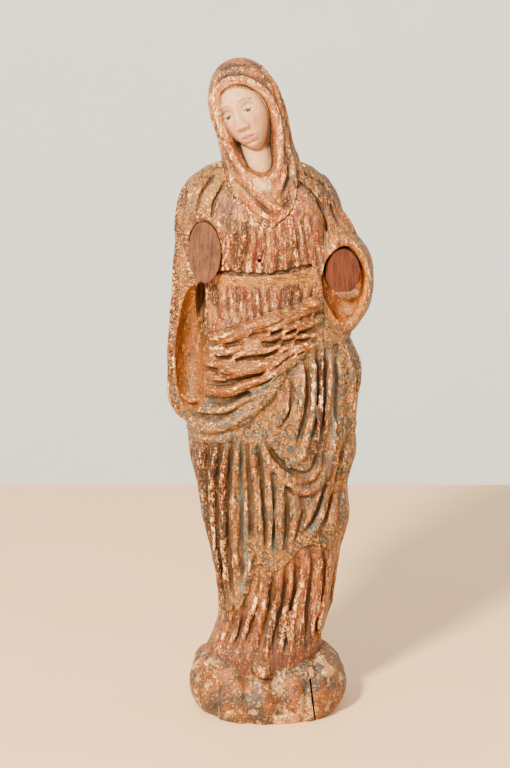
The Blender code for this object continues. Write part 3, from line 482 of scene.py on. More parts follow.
def loft_distance(coords, stations):
    """About how far outside a loft each point is."""
    x, y, z = coords
    left, right, front, back = (v.astype(np.float32) for v in station_values(stations, z.ravel()))
    middle, half = (left + right) / 2, np.abs(right - left) / 2
    across = (np.abs(x[:, :, 0] - middle[None, :]) / half[None, :]) ** ROUNDNESS
    ys = y[0, :, 0][:, None]
    deep = np.where(ys < 0, -front[None, :], back[None, :])
    deep_share = (np.abs(ys) / np.maximum(deep, 1)) ** ROUNDNESS
    size = (across[:, None, :] + deep_share[None, :, :]) ** np.float32(1 / ROUNDNESS)
    step = float(x[1, 0, 0] - x[0, 0, 0])
    slopes = np.gradient(size, step)
    steep = np.sqrt(slopes[0] ** 2 + slopes[1] ** 2 + slopes[2] ** 2)
    distance = (size - 1) / np.maximum(steep, 0.004)
    below, above = stations[0][0] - z, z - stations[-1][0]
    return np.maximum(distance, np.maximum(below, above))


def egg_distance(coords, centre, radii, turn=None):
    """About how far outside an ellipsoid each point is; turn holds its axes as columns."""
    x, y, z = (coords[k] - centre[k] for k in range(3))
    if turn is not None:
        x, y, z = (turn[0][k] * x + turn[1][k] * y + turn[2][k] * z for k in range(3))
    a, b, c = radii
    size = np.sqrt((x / a) ** 2 + (y / b) ** 2 + (z / c) ** 2)
    steep = np.sqrt((x / a**2) ** 2 + (y / b**2) ** 2 + (z / c**2) ** 2)
    return size * (size - 1) / np.maximum(steep, 1e-3)


def tube_distance(coords, points, radii):
    """How far outside a round rod through the points each point is."""
    x, y, z = coords
    best = None
    for a, b, ra, rb in zip(points, points[1:], radii, radii[1:]):
        ab = (b - a).astype(np.float32)
        a = a.astype(np.float32)
        along = (x - a[0]) * ab[0] + (y - a[1]) * ab[1] + (z - a[2]) * ab[2]
        t = np.clip(along / np.float32(ab @ ab), 0, 1)
        d = np.sqrt((x - a[0] - t * ab[0]) ** 2 + (y - a[1] - t * ab[1]) ** 2 + (z - a[2] - t * ab[2]) ** 2)
        d = d - (ra + t * (rb - ra))
        best = d if best is None else np.minimum(best, d)
    return best


def tube(field, points, radii, cut=False, blend=3.0):
    """Join a round rod to a solid, or cut a channel the shape of one."""
    points = np.asarray(points, float)
    radii = np.broadcast_to(np.asarray(radii, np.float32), (len(points),))
    reach = radii.max() + blend + 5
    slices, coords = field.window(points.min(0) - reach, points.max(0) + reach)
    distance = tube_distance(coords, points, radii)
    (field.cut if cut else field.join)(slices, distance, blend)


def fold(field, stations, side, radius, rise, line, extra=0.0):
    """A rounded ridge standing out of a loft by rise, or a channel into it if rise is below 0."""
    points, out = on_surface(stations, side, line)
    along = np.linalg.norm(np.diff(points, axis=0), axis=1)
    place = np.concatenate([[0], np.cumsum(along)])
    ends = np.minimum(place, place[-1] - place) / max(min(16, place[-1] * 0.4), 1)
    fade = np.clip(ends, 0, 1)
    fade = fade * fade * (3 - 2 * fade)
    start = line[0][0] * 1.7 + line[0][1] * 0.9
    swell = 1 + 0.16 * np.sin(place / 9.0 + start) + 0.10 * np.sin(place / 4.1 + 2 * start)
    high = abs(rise) * (0.15 + 0.85 * fade) * swell
    wide = radius * (0.75 + 0.25 * fade) * (1 + 0.12 * np.sin(place / 13.0 + start))
    sway = 0.7 * np.sin(place / 17.0 + start) * fade
    points = points + np.stack([sway, 0 * sway, 0 * sway], axis=1)
    shift = extra + (high - wide if rise > 0 else wide - high)
    tube(field, points + out * shift[:, None], wide, cut=rise < 0, blend=3.4 if rise > 0 else 2.4)


def folds(field, stations, side, lines, extra=0.0):
    for radius, rise, line in lines:
        fold(field, stations, side, radius, rise, line, extra)


def height_of(line, x):
    points = curve(line, 3.0)
    order = np.argsort(points[:, 0])
    return np.interp(x, points[order, 0], points[order, 1]).astype(np.float32)


def above_line(coords, line):
    """About how far above a line over x each point is."""
    x, z = coords[0], coords[2]
    level = height_of(line, x.ravel()).reshape(x.shape)
    rise = np.gradient(level[:, 0, 0], float(x[1, 0, 0] - x[0, 0, 0])).reshape(x.shape)
    return (z - level) / np.sqrt(1 + rise**2)


def grid_points(coords):
    """A row of x, y and z for each point of a grid."""
    return np.stack(np.broadcast_arrays(*coords), axis=-1)


def oval_size(x, z, centre, half):
    """1 on an upright oval over x and height, and less inside it."""
    return np.sqrt(((x - centre[0]) / half[0]) ** 2 + ((z - centre[1]) / half[1]) ** 2)


def value_noise(points, size, seed):
    """Smooth noise from -1 to 1 at points in mm, with features about that size."""
    place = np.asarray(points, np.float32) / size + 100
    cell = np.floor(place).astype(np.int64)
    t = place - cell
    t = t * t * (3 - 2 * t)
    total = 0
    for corner in range(8):
        bits = np.array([(corner >> k) & 1 for k in range(3)])
        at = cell + bits
        key = at[..., 0] * 374761393 + at[..., 1] * 668265263 + at[..., 2] * 2147483647 + seed * 974711
        key = (key ^ (key >> 13)) * 1274126177
        value = ((key ^ (key >> 16)) & 0xFFFF) / 32767.5 - 1
        weight = np.prod([t[..., k] if bits[k] else 1 - t[..., k] for k in range(3)], axis=0)
        total = total + weight * value
    return total


# ---- The figure's own form ----


def turn_of_face():
    lean, turn, tip = (math.radians(FACE[key]) for key in ("lean", "turn", "tip"))
    whole = Matrix.Rotation(lean, 3, "Y") @ Matrix.Rotation(turn, 3, "Z") @ Matrix.Rotation(tip, 3, "X")
    return np.array(whole, float)


TURN = turn_of_face()


def face_local(points):
    """Points in the face's own axes: across, out of it (towards -y) and up."""
    return (np.asarray(points, float) - np.array(FACE["at"])) @ TURN


def bump(across, up, height, middle, level, wide, tall):
    """A soft swelling on both sides of a face, or one in its middle if middle is 0."""
    return height * np.exp(-(((np.abs(across) - middle) / wide) ** 2) - ((up - level) / tall) ** 2)


def face_depth(across, up):
    """How far a plain face stands out of its middle plane."""
    jaw = np.clip((-up - 4) / 30, 0, 1)
    temple = np.clip((up - 14) / 22, 0, 1)
    half = 22.5 - 8.0 * jaw**1.6 - 3.0 * temple**2
    share = (across / half) ** 2 + (np.where(up > 0, up / 38, up / 35.5)) ** 2
    depth = 25.5 * np.clip(1 - share, 0, 1) ** 0.45 - 40 * np.clip(share - 1, 0, 1)
    for swelling in FACE_FORM:
        depth = depth + bump(across, up, *swelling)
    down = np.clip((7 - up) / 21, 0, 1)
    width = 2.7 + 2.1 * down
    bridge = (1.6 + 7.2 * down**1.2) * (1 - np.clip((-up - 13.2) / 3.0, 0, 1)) * (up < 9)
    depth = depth + bridge * np.exp(-((np.abs(across) / width) ** 2.4)) * np.clip((10 - up) / 4, 0, 1)
    return depth


def face_point(across, up, lift=0.0):
    """A point of the figure on the face's skin."""
    out = face_depth(np.array(across, float), np.array(up, float)) + lift
    return np.array(FACE["at"]) + TURN @ np.array([across, -out, up])


def face_line(points, lift):
    return np.array([face_point(a, u, lift) for a, u in curve(points, 1.2)])


def make_head():
    head = Field((-47, -56, 446), (47, 43, 603), HEAD_STEP)
    everywhere, coords = head.everywhere()
    x, y, z = coords
    head.values = loft_distance(coords, HOOD)
    folds(head, HOOD, FRONT, HOOD_FRONT)
    folds(head, HOOD, BACK, HOOD_BACK)

    opening = curve(OPENING + OPENING[:1], 3.0)
    inside = polygon_distance(x[:, 0, 0], z[0, 0, :], opening)[:, None, :]
    floor = np.maximum(inside + 0.42 * np.clip(y + 34, 0, 40), y + 6)
    head.cut(everywhere, floor, 2.0)
    rim_x, rim_z = opening[:, 0], opening[:, 1]
    rim_y = surface_y(HOOD, FRONT, rim_x, rim_z)
    middle = np.array([-5.0, 545.0])
    away = np.stack([rim_x, rim_z], axis=1) - middle
    away /= np.linalg.norm(away, axis=1, keepdims=True)
    rim = np.stack([rim_x + away[:, 0] * 2.2, rim_y + 1.4, rim_z + away[:, 1] * 2.2], axis=1)
    tube(head, rim, 2.9, blend=2.2)

    slices, near = head.window(np.array(FACE["at"]) - 46, np.array(FACE["at"]) + 46)
    local = [sum(TURN[axis][k] * (near[axis] - FACE["at"][axis]) for axis in range(3)) for k in range(3)]
    depth = face_depth(local[0], local[2])
    slope_x = (face_depth(local[0] + 0.4, local[2]) - depth) / 0.4
    slope_z = (face_depth(local[0], local[2] + 0.4) - depth) / 0.4
    relief = (-local[1] - depth) / np.sqrt(1 + slope_x**2 + slope_z**2)
    skull = egg_distance(near, FACE["at"], (23, 26.5, 37.5), TURN)
    face = np.full(head.values.shape, 60, np.float32)
    face[slices] = np.maximum(relief, np.maximum(skull - 4.5, local[1] - 12))
    head.values = smooth_min(head.values, face, 0.8)
    neck = tube_distance(coords, np.array([(-2.0, -7, 533), (6.0, -17, 486)]), [12.6, 14.5])
    head.values = smooth_min(head.values, neck, 1.6)
    details_of_face(head)
    band = face_line([(-19, 16), (-12, 22), (0, 24.5), (12, 22), (19, 16)], -0.6)
    tube(head, band, 2.3, blend=1.0)
    collar = curve([(-11, -27, 500), (-3, -35, 495), (6, -37, 493), (14, -35, 496), (20, -27, 503)], 2.0)
    tube(head, collar, 2.6, blend=1.6)
    inner = curve([(-16, -30, 512), (-11, -36, 503), (-2, -41, 496), (8, -43, 492)], 2.0)
    tube(head, inner, 2.4, blend=2.0)
    head.face, head.neck = face, neck
    cloth = (np.abs(head.values) < 4) & (np.minimum(face, neck) > 1.5)
    points = grid_points(coords)[cloth]
    noise = 0.42 * value_noise(points, 8.0, 7) + 0.25 * value_noise(points, 3.6, 9)
    head.values[cloth] += noise.astype(np.float32)
    seam = (SEAM_HEIGHT + SEAM_SLOPE * y - z) / math.hypot(1, SEAM_SLOPE)
    head.values = np.maximum(head.values, z - FIGURE_BOX[1][2] + 0.05).astype(np.float32)
    head.whole = head.values.copy()
    head.values = np.maximum(head.values, seam)
    return head


def line_distance(x, z, line):
    """Distance over x and height from a line through the points."""
    best = np.full(x.shape, 1e9)
    for a, b in zip(line, line[1:]):
        ab = b - a
        t = np.clip(((x - a[0]) * ab[0] + (z - a[1]) * ab[1]) / max(float(ab @ ab), 1e-6), 0, 1)
        best = np.minimum(best, np.hypot(x - a[0] - t * ab[0], z - a[1] - t * ab[1]))
    return best


def polygon_distance(xs, zs, outline):
    """Distance from a closed outline over x and height, below 0 inside it."""
    x, z = np.meshgrid(xs, zs, indexing="ij")
    crossings = np.zeros(x.shape, int)
    for (ax, az), (bx, bz) in zip(outline, outline[1:]):
        if az != bz:
            crossings += ((az > z) != (bz > z)) & (x < (bx - ax) * (z - az) / (bz - az) + ax)
    return (line_distance(x, z, outline) * np.where(crossings % 2, -1, 1)).astype(np.float32)


def face_strokes(head, strokes, side=1):
    """Rolls and grooves on the face, on its left side or its right."""
    for points, lift, radius, cut, blend in strokes:
        points = [(side * across, up) for across, up in points]
        tube(head, face_line(points, lift), radius, cut=cut, blend=blend)


def details_of_face(head):
    """Eyes with lowered lids, nostrils and mouth, on plain proportions."""
    for side in (-1, 1):
        eye = face_point(side * 10.0, 0.2, -4.6)
        slices, coords = head.window(eye - 12, eye + 12)
        head.join(slices, egg_distance(coords, eye, (5.6, 5.6, 5.0)), 0.8)
        face_strokes(head, EYE_STROKES, side)
        wing = face_point(side * 4.3, -13.0, -1.6)
        slices, coords = head.window(wing - 7, wing + 7)
        head.join(slices, egg_distance(coords, wing, (2.0, 2.8, 2.1)), 1.6)
        nostril = face_point(side * 1.9, -15.4, 1.0)
        tube(head, np.array([nostril, nostril + TURN @ np.array([0, 1.5, 2.4])]), 0.75, cut=True, blend=0.5)
    face_strokes(head, MOUTH_STROKES)


def pleats(body):
    """Fine upright pleats over the chest and below the belt."""
    for low, high, left, right, pitch in ((412, 468, -38, 60, 9.5), (370, 403, -42, 56, 8.5)):
        slices, (x, y, z) = body.window((left - 4, -66, low - 4), (right + 4, -12, high + 4))
        sway = 0.8 * np.sin(z / 15 + x / 19) + 0.5 * np.sin(x / 7)
        phase = math.pi * x * (1 + 0.0016 * (z - low)) / pitch + sway
        fade = ease(z, low, low + 6) * ease(high - z, 0, 8) * ease(x, left, left + 6) * ease(right - x, 0, 6)
        height = (2 * np.abs(np.sin(phase)) - 1.1) * fade * ease(-y, 14, 24)
        body.values[slices] -= (1.25 * height * (np.abs(body.values[slices]) < 6)).astype(np.float32)


def creases(body):
    """Small creases in the gathered cloth, running with its edges."""
    apron = (HEMS["apron"], HEMS["apron_top"], 7, 0.8, -46, 54)
    roll = (HEMS["roll"], HEMS["apron"], 4, 0.7, -54, 44)
    for low, high, count, height, left, right in (apron, roll):
        slices, (x, y, z) = body.window((left, -74, 258), (right, -12, 402))
        floor, top = height_of(low, x), height_of(high, x)
        share = (z - floor) / np.maximum(top - floor, 4)
        phase = math.pi * (count * share + 0.4 * np.sin(x / 15) + 0.2 * np.sin(x / 6))
        wave = 2 * np.abs(np.sin(phase)) - 1.1
        fade = ease(share, 0, 0.1) * ease(1 - share, 0, 0.1) * ease(x, left, left + 8) * ease(right - x, 0, 8)
        wave = wave * fade * ease(-y, 14, 24) * (np.abs(body.values[slices]) < 6)
        body.values[slices] -= (height * wave).astype(np.float32)


def side_folds(body):
    """Folds low on the figure's two sides, which the front and back lines don't reach."""
    for angle, rise, radius, low, high in SIDE_FOLDS:
        heights = np.arange(low, high + 1, 8.0)
        left, right, front, back = station_values(BODY, heights)
        turn = math.radians(angle) + 0.05 * np.sin(heights / 31.0 + angle)
        power = 2 / ROUNDNESS
        across, deep = np.cos(turn), np.sin(turn)
        x = (left + right) / 2 + np.sign(across) * np.abs(across) ** power * (right - left) / 2
        y = np.sign(deep) * np.abs(deep) ** power * np.where(deep > 0, back, -front)
        points = np.stack([x, y, heights], axis=1)
        out = points - np.stack([(left + right) / 2, 0 * x, heights], axis=1)
        out /= np.linalg.norm(out, axis=1, keepdims=True)
        fade = np.clip(np.minimum(np.arange(len(x)), len(x) - 1 - np.arange(len(x))) / 3, 0.2, 1)
        inward = -(radius - abs(rise) * fade) if rise > 0 else radius - abs(rise) * fade
        tube(body, points + out * inward[:, None], radius, cut=rise < 0, blend=3.0)


def dressed_body():
    """The body with the mantle, its gathered apron and the belt lying over the tunic."""
    body = Field((-86, -73, -3), (113, 60, 513), BODY_STEP)
    everywhere, coords = body.everywhere()
    x, y, _ = coords
    plain = loft_distance(coords, BODY)
    body.values = plain.copy()
    above = {name: above_line(coords, line) for name, line in HEMS.items()}
    mantle = np.maximum(plain - 2.6, -above["mantle"])
    body.join(everywhere, np.where(y < 20, mantle, 60), 0.8)
    cloth = np.maximum(plain - 4.2, np.maximum(-above["roll"], above["apron_top"]))
    body.join(everywhere, np.where(y < 6, cloth, 60), 0.8)
    upper = np.maximum(plain - 5.2, np.maximum(-above["apron"], above["apron_top"]))
    body.join(everywhere, np.where((y < -8) & (x < 52), upper, 60), 1.2)
    belt = np.maximum(-above_line(coords, BELT["low"]), above_line(coords, BELT["high"]))
    belt = np.maximum(plain - 1.5, belt)
    belt = np.maximum(belt, np.maximum(-38 - x, np.maximum(x - 58, y + 10)))
    body.join(everywhere, belt, 0.6)
    slices, near = body.window((-86, -40, 266), (2, 50, 502))
    body.join(slices, loft_distance(near, WING), 3.0)
    slices, near = body.window((28, -46, 344), (113, 50, 499))
    body.join(slices, loft_distance(near, ELBOW), 4.0)
    return body


def carve_folds(body):
    """The folds of the body and of the back, then a pass that fills undercuts behind the front ones."""
    pleats(body)
    layers = ((CHEST, 0.0), (SHOULDERS, 0.0), (SKIRT, 2.3), (TUNIC, 0.0), (APRON, 4.4), (HIP, 2.4))
    for lines, layer in layers:
        folds(body, BODY, FRONT, lines, layer)
    creases(body)
    folds(body, BODY, BACK, BACK_FOLDS)
    folds(body, WING, BACK, WING_BACK)
    folds(body, ELBOW, BACK, ELBOW_BACK)
    side_folds(body)

    for low, high in (((-44, -74, 268), (58, -24, 400)), ((-30, -74, 112), (64, -26, 268))):
        slices, _ = body.window(low, high)
        body.values[slices] = np.minimum.accumulate(body.values[slices], axis=1)


def cut_seats(body, head):
    """The seats of the arm stumps and the head, and the small hole in the chest."""
    for stub in (RIGHT_STUB, LEFT_STUB):
        sx, sz = stub["centre"]
        slices, near = body.window((sx - 40, -80, sz - 50), (sx + 40, 20, sz + 50))
        hole = (oval_size(near[0], near[2], stub["centre"], stub["half"]) - 1) * min(stub["half"]) - GAP
        hole = np.maximum(hole, near[1] - stub["back"] - GAP)
        if "floor" in stub:
            hole = np.maximum(hole, stub["floor"] - GAP - near[2])
        body.cut(slices, hole, 0.3)
    hole_x, hole_z, radius, deep = CHEST_HOLE
    slices, near = body.window((hole_x - 8, -80, hole_z - 8), (hole_x + 8, 0, hole_z + 8))
    hole = np.sqrt((near[0] - hole_x) ** 2 + (near[2] - hole_z) ** 2) - radius
    body.cut(slices, np.maximum(hole, near[1] - CHEST_FRONT - deep), 0.4)
    slices, near = body.window((-46, -56, 448), (46, 42, 513))
    seam = (SEAM_HEIGHT + SEAM_SLOPE * near[1] - near[2]) / math.hypot(1, SEAM_SLOPE)
    socket = np.maximum(head.like(head.whole).sample(grid_points(near)), seam) - GAP
    body.values[slices] = np.maximum(body.values[slices], -socket)


def roughen(body):
    """The chisel's unevenness all over, kept inside the CAD model's box."""
    _, coords = body.everywhere()
    x, y, z = coords
    skin = np.abs(body.values) < 4
    points = grid_points(coords)[skin]
    noise = 0.45 * value_noise(points, 10.0, 3) + 0.22 * value_noise(points, 4.5, 5)
    body.values[skin] += noise.astype(np.float32)
    (left, front, low), (right, back, _) = FIGURE_BOX
    past = [left + 0.1 - x, x - right + 0.1, front + 0.1 - y, y - back + 0.1, low - z]
    for limit in past:
        body.values = np.maximum(body.values, limit.astype(np.float32))


def make_body(head):
    body = dressed_body()
    carve_folds(body)
    scoop(body)
    folds(body, WING, FRONT, RIGHT_WING)
    folds(body, ELBOW, FRONT, LEFT_ELBOW)
    rocks(body)
    slices, near = body.window((36, -70, 375), (59, -25, 410))
    body.join(slices, egg_distance(near, *APRON_KNOT), 3.0)
    cut_seats(body, head)
    roughen(body)
    return body


def scoop(body):
    """The hollow of the mantle between its edge and the body, and the open end of the left sleeve."""
    lean = np.array(Matrix.Rotation(math.radians(3), 3, "Y"))
    slices, near = body.window((-80, -70, 270), (-28, 20, 415))
    body.cut(slices, np.maximum(egg_distance(near, *WING_HOLLOW, lean), near[0] + 46.4), 1.2)
    body.cut(slices, np.maximum(egg_distance(near, (-48, -22, 384), (5, 22, 22), lean), near[0] + 43), 1.6)
    slices, near = body.window((50, -90, 350), (112, 10, 450))
    oval = oval_size(near[0], near[2], LEFT_HOOD["centre"], LEFT_HOOD["half"]) - 1
    oval = oval * min(LEFT_HOOD["half"])
    body.cut(slices, np.maximum(oval, near[1] - LEFT_HOOD["back"]), 2.0)
    body.cut(slices, egg_distance(near, (80, -24, 382), (14, 14, 14)), 4.0)


def rocks(body):
    slices, near = body.window((-86, -73, -3), (113, 60, 82))
    block = loft_distance(near, BASE)
    stone = np.maximum(block + 1.2, near[2] - 9)
    for centre, radii in ROCKS:
        stone = smooth_min(stone, egg_distance(near, centre, radii), 1.9)
    grid = grid_points(near)
    stone = stone + 1.3 * value_noise(grid, 13.0, 11) + 0.5 * value_noise(grid, 5.0, 12)
    core = np.maximum(block + 7, near[2] - 36)
    stone = np.maximum(np.minimum(stone, core), loft_distance(near, ROCK_LIMIT) - 1.2)
    body.join(slices, stone, 1.6)
    slices, near = body.window((-5, -64, 38), (24, -20, 72))
    body.join(slices, egg_distance(near, *SHOE), 2.4)
    slices, near = body.window((-86, -73, -3), (113, 60, 10))
    body.values[slices] = np.maximum(body.values[slices], -near[2])


def add_object(name, data):
    obj = bpy.data.objects.new(name, data)
    bpy.context.scene.collection.objects.link(obj)
    return obj


def mesh_of(name, field):
    """The field's surface as a mesh in mm."""
    grid = openvdb.FloatGrid(60.0)
    grid.copyFromArray(field.values)
    points, tris, quads = grid.convertToPolygons(isovalue=0.0, adaptivity=0.0)
    points = points * field.step + field.low
    mesh = bpy.data.meshes.new(name)
    loops = np.concatenate([quads.ravel(), tris.ravel()])
    sizes = np.concatenate([np.full(len(quads), 4), np.full(len(tris), 3)])
    mesh.vertices.add(len(points))
    mesh.vertices.foreach_set("co", points.astype(np.float32).ravel())
    mesh.loops.add(len(loops))
    mesh.loops.foreach_set("vertex_index", loops.astype(np.int32))
    mesh.polygons.add(len(sizes))
    mesh.polygons.foreach_set("loop_start", np.concatenate([[0], np.cumsum(sizes)[:-1]]).astype(np.int32))
    mesh.update(calc_edges=True)
    mesh.validate()
    return add_object(name, mesh)


# ---- Cutting the carving into its blocks ----


def hexahedron(name, low, high, lean=0.0):
    """A box; lean shifts its sides in x by that much from its bottom to its top."""
    mesh = bpy.data.meshes.new(name)
    corners = [
        (x + (lean if z == high[2] else 0), y, z)
        for z in (low[2], high[2]) for y in (low[1], high[1]) for x in (low[0], high[0])
    ]
    faces = [(0, 2, 3, 1), (4, 5, 7, 6), (0, 1, 5, 4), (2, 6, 7, 3), (0, 4, 6, 2), (1, 3, 7, 5)]
    mesh.from_pydata(corners, [], faces)
    return add_object(name, mesh)


def boolean(obj, cutter, operation):
    """Cut or trim an object by another and keep the result as its mesh."""
    modifier = obj.modifiers.new("cut", "BOOLEAN")
    modifier.object, modifier.operation, modifier.solver = cutter, operation, "MANIFOLD"
    result = bpy.data.meshes.new_from_object(obj.evaluated_get(bpy.context.evaluated_depsgraph_get()))
    obj.modifiers.clear()
    old, obj.data = obj.data, result
    bpy.data.meshes.remove(old)


def drop(*objects):
    for obj in objects:
        mesh = obj.data
        bpy.data.objects.remove(obj)
        bpy.data.meshes.remove(mesh)


def pin_cutters():
    """The holes for every dowel and nail, and the hollow in the log."""
    mesh_edit = bmesh.new()
    for name in NODES:
        if "dowel" not in name and "nail" not in name:
            continue
        low, high = (np.array(side) * 1000 - np.array(SHIFT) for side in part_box(name))
        middle, size = (low + high) / 2, high - low
        axis = int(np.argmax(size))
        if name == "neck_dowel":
            direction = Vector(NECK_DOWEL["along"]).normalized()
            length, width = NECK_DOWEL["length"], NECK_DOWEL["width"]
        else:
            direction = Vector([float(k == axis) for k in range(3)])
            length, width = float(size[axis]), float(np.delete(size, axis).max())
        turn = direction.to_track_quat("Z", "Y").to_matrix().to_4x4()
        bmesh.ops.create_cone(
            mesh_edit, cap_ends=True, segments=24, radius1=width / 2 + GAP, radius2=width / 2 + GAP,
            depth=length + 2 * GAP, matrix=Matrix.Translation(Vector(middle)) @ turn,
        )
    hollow = bmesh.ops.create_cube(mesh_edit, size=1.0)["verts"]
    where = Matrix.Translation(LOG_HOLLOW["centre"]) @ Matrix.Diagonal((*LOG_HOLLOW["size"], 1))
    bmesh.ops.transform(mesh_edit, verts=hollow, matrix=where)
    edges = list({edge for vert in hollow for edge in vert.link_edges})
    rounding = {"offset": LOG_HOLLOW["bevel"], "segments": 4, "affect": "EDGES", "profile": 0.5}
    bmesh.ops.bevel(mesh_edit, geom=edges, **rounding)
    mesh = bpy.data.meshes.new("pins")
    mesh_edit.to_mesh(mesh)
    mesh_edit.free()
    return add_object("pins", mesh)


def split(source, pins, keep, lean, remove):
    """A block of the carving: what lies in the box keep, less the boxes in remove and the pins' holes."""
    piece = add_object("piece", source.data.copy())
    block = hexahedron("keep", *keep, lean)
    boolean(piece, block, "INTERSECT")
    drop(block)
    for low, high in remove:
        block = hexahedron("remove", low, high)
        boolean(piece, block, "DIFFERENCE")
        drop(block)
    boolean(piece, pins, "DIFFERENCE")
    return piece


def split_body(source, pins):
    half = GAP / 2
    wing = ((-FAR, -FAR, WING_LOW - half), (WING_FACE + half, FAR, FAR))
    left = ((LEFT_FACE - half, -FAR, HIP_LOW - half), (FAR, FAR, FAR))
    crack_right, crack_left = CRACK["at"] - CRACK["half"], CRACK["at"] + CRACK["half"]
    blocks = {
        "trunk": ((-FAR, -FAR, BASE_TOP + half), (FAR, BACK_FACE - half, FAR)),
        "back_board": ((-FAR, BACK_FACE + half, BASE_TOP + half), (FAR, FAR, FAR)),
        "mantle_side_right": ((-FAR, -FAR, WING_LOW + half), (WING_FACE - half, FAR, FAR)),
        "mantle_elbow_left": ((LEFT_FACE + half, -FAR, ELBOW_LOW + half), (FAR, FAR, FAR)),
        "drape_hip_left": ((LEFT_FACE + half, -FAR, HIP_LOW + half), (FAR, FAR, ELBOW_LOW - half)),
        "base_main": ((-FAR, -FAR, -BASE_TOP), (crack_right, FAR, BASE_TOP - half)),
        "base_side_left": ((crack_left, -FAR, -BASE_TOP), (FAR, FAR, BASE_TOP - half)),
    }
    pieces = {}
    for node, keep in blocks.items():
        remove = (wing, left) if node in ("trunk", "back_board") else ()
        pieces[node] = split(source, pins, keep, CRACK["lean"] if "base" in node else 0, remove)
    return pieces


def make_stub(stub):
    """A sawn arm stump: an upright oval of bare wood, its edge broken by the chisel."""
    (sx, sz), (hx, hz) = stub["centre"], stub["half"]
    low = (sx - hx - 2, stub["front"] - 2, sz - hz - 2)
    high = (sx + hx + 2, stub["back"] + 2, sz + hz + 2)
    field = Field(low, high, STUB_STEP)
    _, (x, y, z) = field.everywhere()
    oval = (oval_size(x, z, stub["centre"], stub["half"]) - 1) * min(hx, hz) + GAP / 2
    oval = oval + 0.12 + 0.12 * value_noise(grid_points((x, y * 0.3, z)), 5.0, 21)
    saw = 0.15 + 0.15 * value_noise(grid_points((x * 2.2, y * 0, z * 0.25)), 3.0, 22)
    solid = np.maximum(np.maximum(oval, stub["front"] - y + saw), y - stub["back"])
    if "floor" in stub:
        solid = np.maximum(solid, stub["floor"] - z + 0.1)
    field.values = solid
    return mesh_of("stub", field)


def drop_crumbs(obj):
    """Remove loose chips that cutting a block left off its side of the joint."""
    mesh = obj.data
    edges = np.empty(len(mesh.edges) * 2, np.int32)
    mesh.edges.foreach_get("vertices", edges)
    edges = edges.reshape(-1, 2)
    label = np.arange(len(mesh.vertices))
    while True:
        low = np.minimum(label[edges[:, 0]], label[edges[:, 1]])
        new = label.copy()
        np.minimum.at(new, edges[:, 0], low)
        np.minimum.at(new, edges[:, 1], low)
        new = new[new]
        if (new == label).all():
            break
        label = new
    names, counts = np.unique(label, return_counts=True)
    if len(names) == 1:
        return
    lost = np.isin(label, names[counts < counts.max() * 0.2])
    mesh_edit = bmesh.new()
    mesh_edit.from_mesh(mesh)
    mesh_edit.verts.ensure_lookup_table()
    bmesh.ops.delete(mesh_edit, geom=[mesh_edit.verts[i] for i in np.nonzero(lost)[0]], context="VERTS")
    mesh_edit.to_mesh(mesh)
    mesh_edit.free()


# ---- Paint, laid over the carving by height, side, ridges and hollows ----


def colour(text):
    """Linear red, green and blue from the usual six-figure notation."""
    parts = np.array([int(text[k : k + 2], 16) for k in (0, 2, 4)]) / 255
    return np.where(parts <= 0.04045, parts / 12.92, ((parts + 0.055) / 1.055) ** 2.4)


FLESH, CHEEK, LIP, BROW = colour("d0a277"), colour("c9795c"), colour("9a4a3e"), colour("5a3a28")
IRIS, LASH, EYE_WHITE = colour("2e241d"), colour("4a3024"), colour("d2c2a6")
GOLD, OCHRE, CREAM = colour("b3873e"), colour("8f5a20"), colour("e6c68c")
UMBER, BLACK_BROWN, ORANGE = colour("432a18"), colour("1c130d"), colour("b04c14")
MAGENTA, MAUVE, CRIMSON = colour("7a463a"), colour("6e3b2e"), colour("8a2a18")
VEIL, VEIL_DARK, PATINA = colour("b58446"), colour("5c3d2c"), colour("3a3428")
STONE, STONE_DARK, BACK_BROWN = colour("5e4229"), colour("2a221c"), colour("6c4828")
WHITE, TEAL, SLATE = colour("eddfc4"), colour("4f8490"), colour("2a3434")
UPRIGHT = 0.3


def ease(value, low, high):
    t = np.clip((value - low) / (high - low), 0, 1)
    return t * t * (3 - 2 * t)


def blend(under, over, amount):
    return under + (np.asarray(over) - under) * amount[:, None]


def blurred(values, reach):
    """A box blur done twice over the grid."""
    out = values
    for _ in range(2):
        for axis in range(3):
            first = np.repeat(out.take([0], axis), reach + 1, axis)
            last = np.repeat(out.take([-1], axis), reach, axis)
            padded = np.concatenate([first, out, last], axis)
            total = np.cumsum(padded, axis=axis, dtype=np.float64)
            size = out.shape[axis]
            high = total.take(range(2 * reach + 1, 2 * reach + 1 + size), axis)
            low = total.take(range(0, size), axis)
            out = ((high - low) / (2 * reach + 1)).astype(np.float32)
    return out


class Relief:
    """How far each point stands on an edge or in a hollow, from the field round it."""

    def __init__(self, field, fine, broad):
        self.parts = []
        for reach in (fine, broad):
            part = field.like(np.clip(blurred(np.clip(field.values, -9, 9), reach) - field.values, -6, 6))
            near = part.values[np.abs(field.values) < 1]
            part.high = np.percentile(near[near > 0], 88)
            part.deep = -np.percentile(near[near < 0], 12)
            self.parts.append(part)

    def at(self, points):
        fine, broad = (part.sample(points) for part in self.parts)
        first, second = self.parts
        ridge = 0.6 * np.clip(fine / first.high, 0, 1.6) + 0.4 * np.clip(broad / second.high, 0, 1.6)
        hollow = 0.5 * np.clip(-fine / first.deep, 0, 1.6) + 0.5 * np.clip(-broad / second.deep, 0, 1.6)
        return ridge, hollow


def mesh_points(obj):
    points = np.empty(len(obj.data.vertices) * 3, np.float32)
    obj.data.vertices.foreach_get("co", points)
    return points.reshape(-1, 3)


def store(obj, name, values):
    attribute = obj.data.attributes.new(name, "FLOAT_COLOR", "POINT")
    full = np.ones((len(values), 4), np.float32)
    full[:, : values.shape[1]] = values
    attribute.data.foreach_set("color", full.ravel())


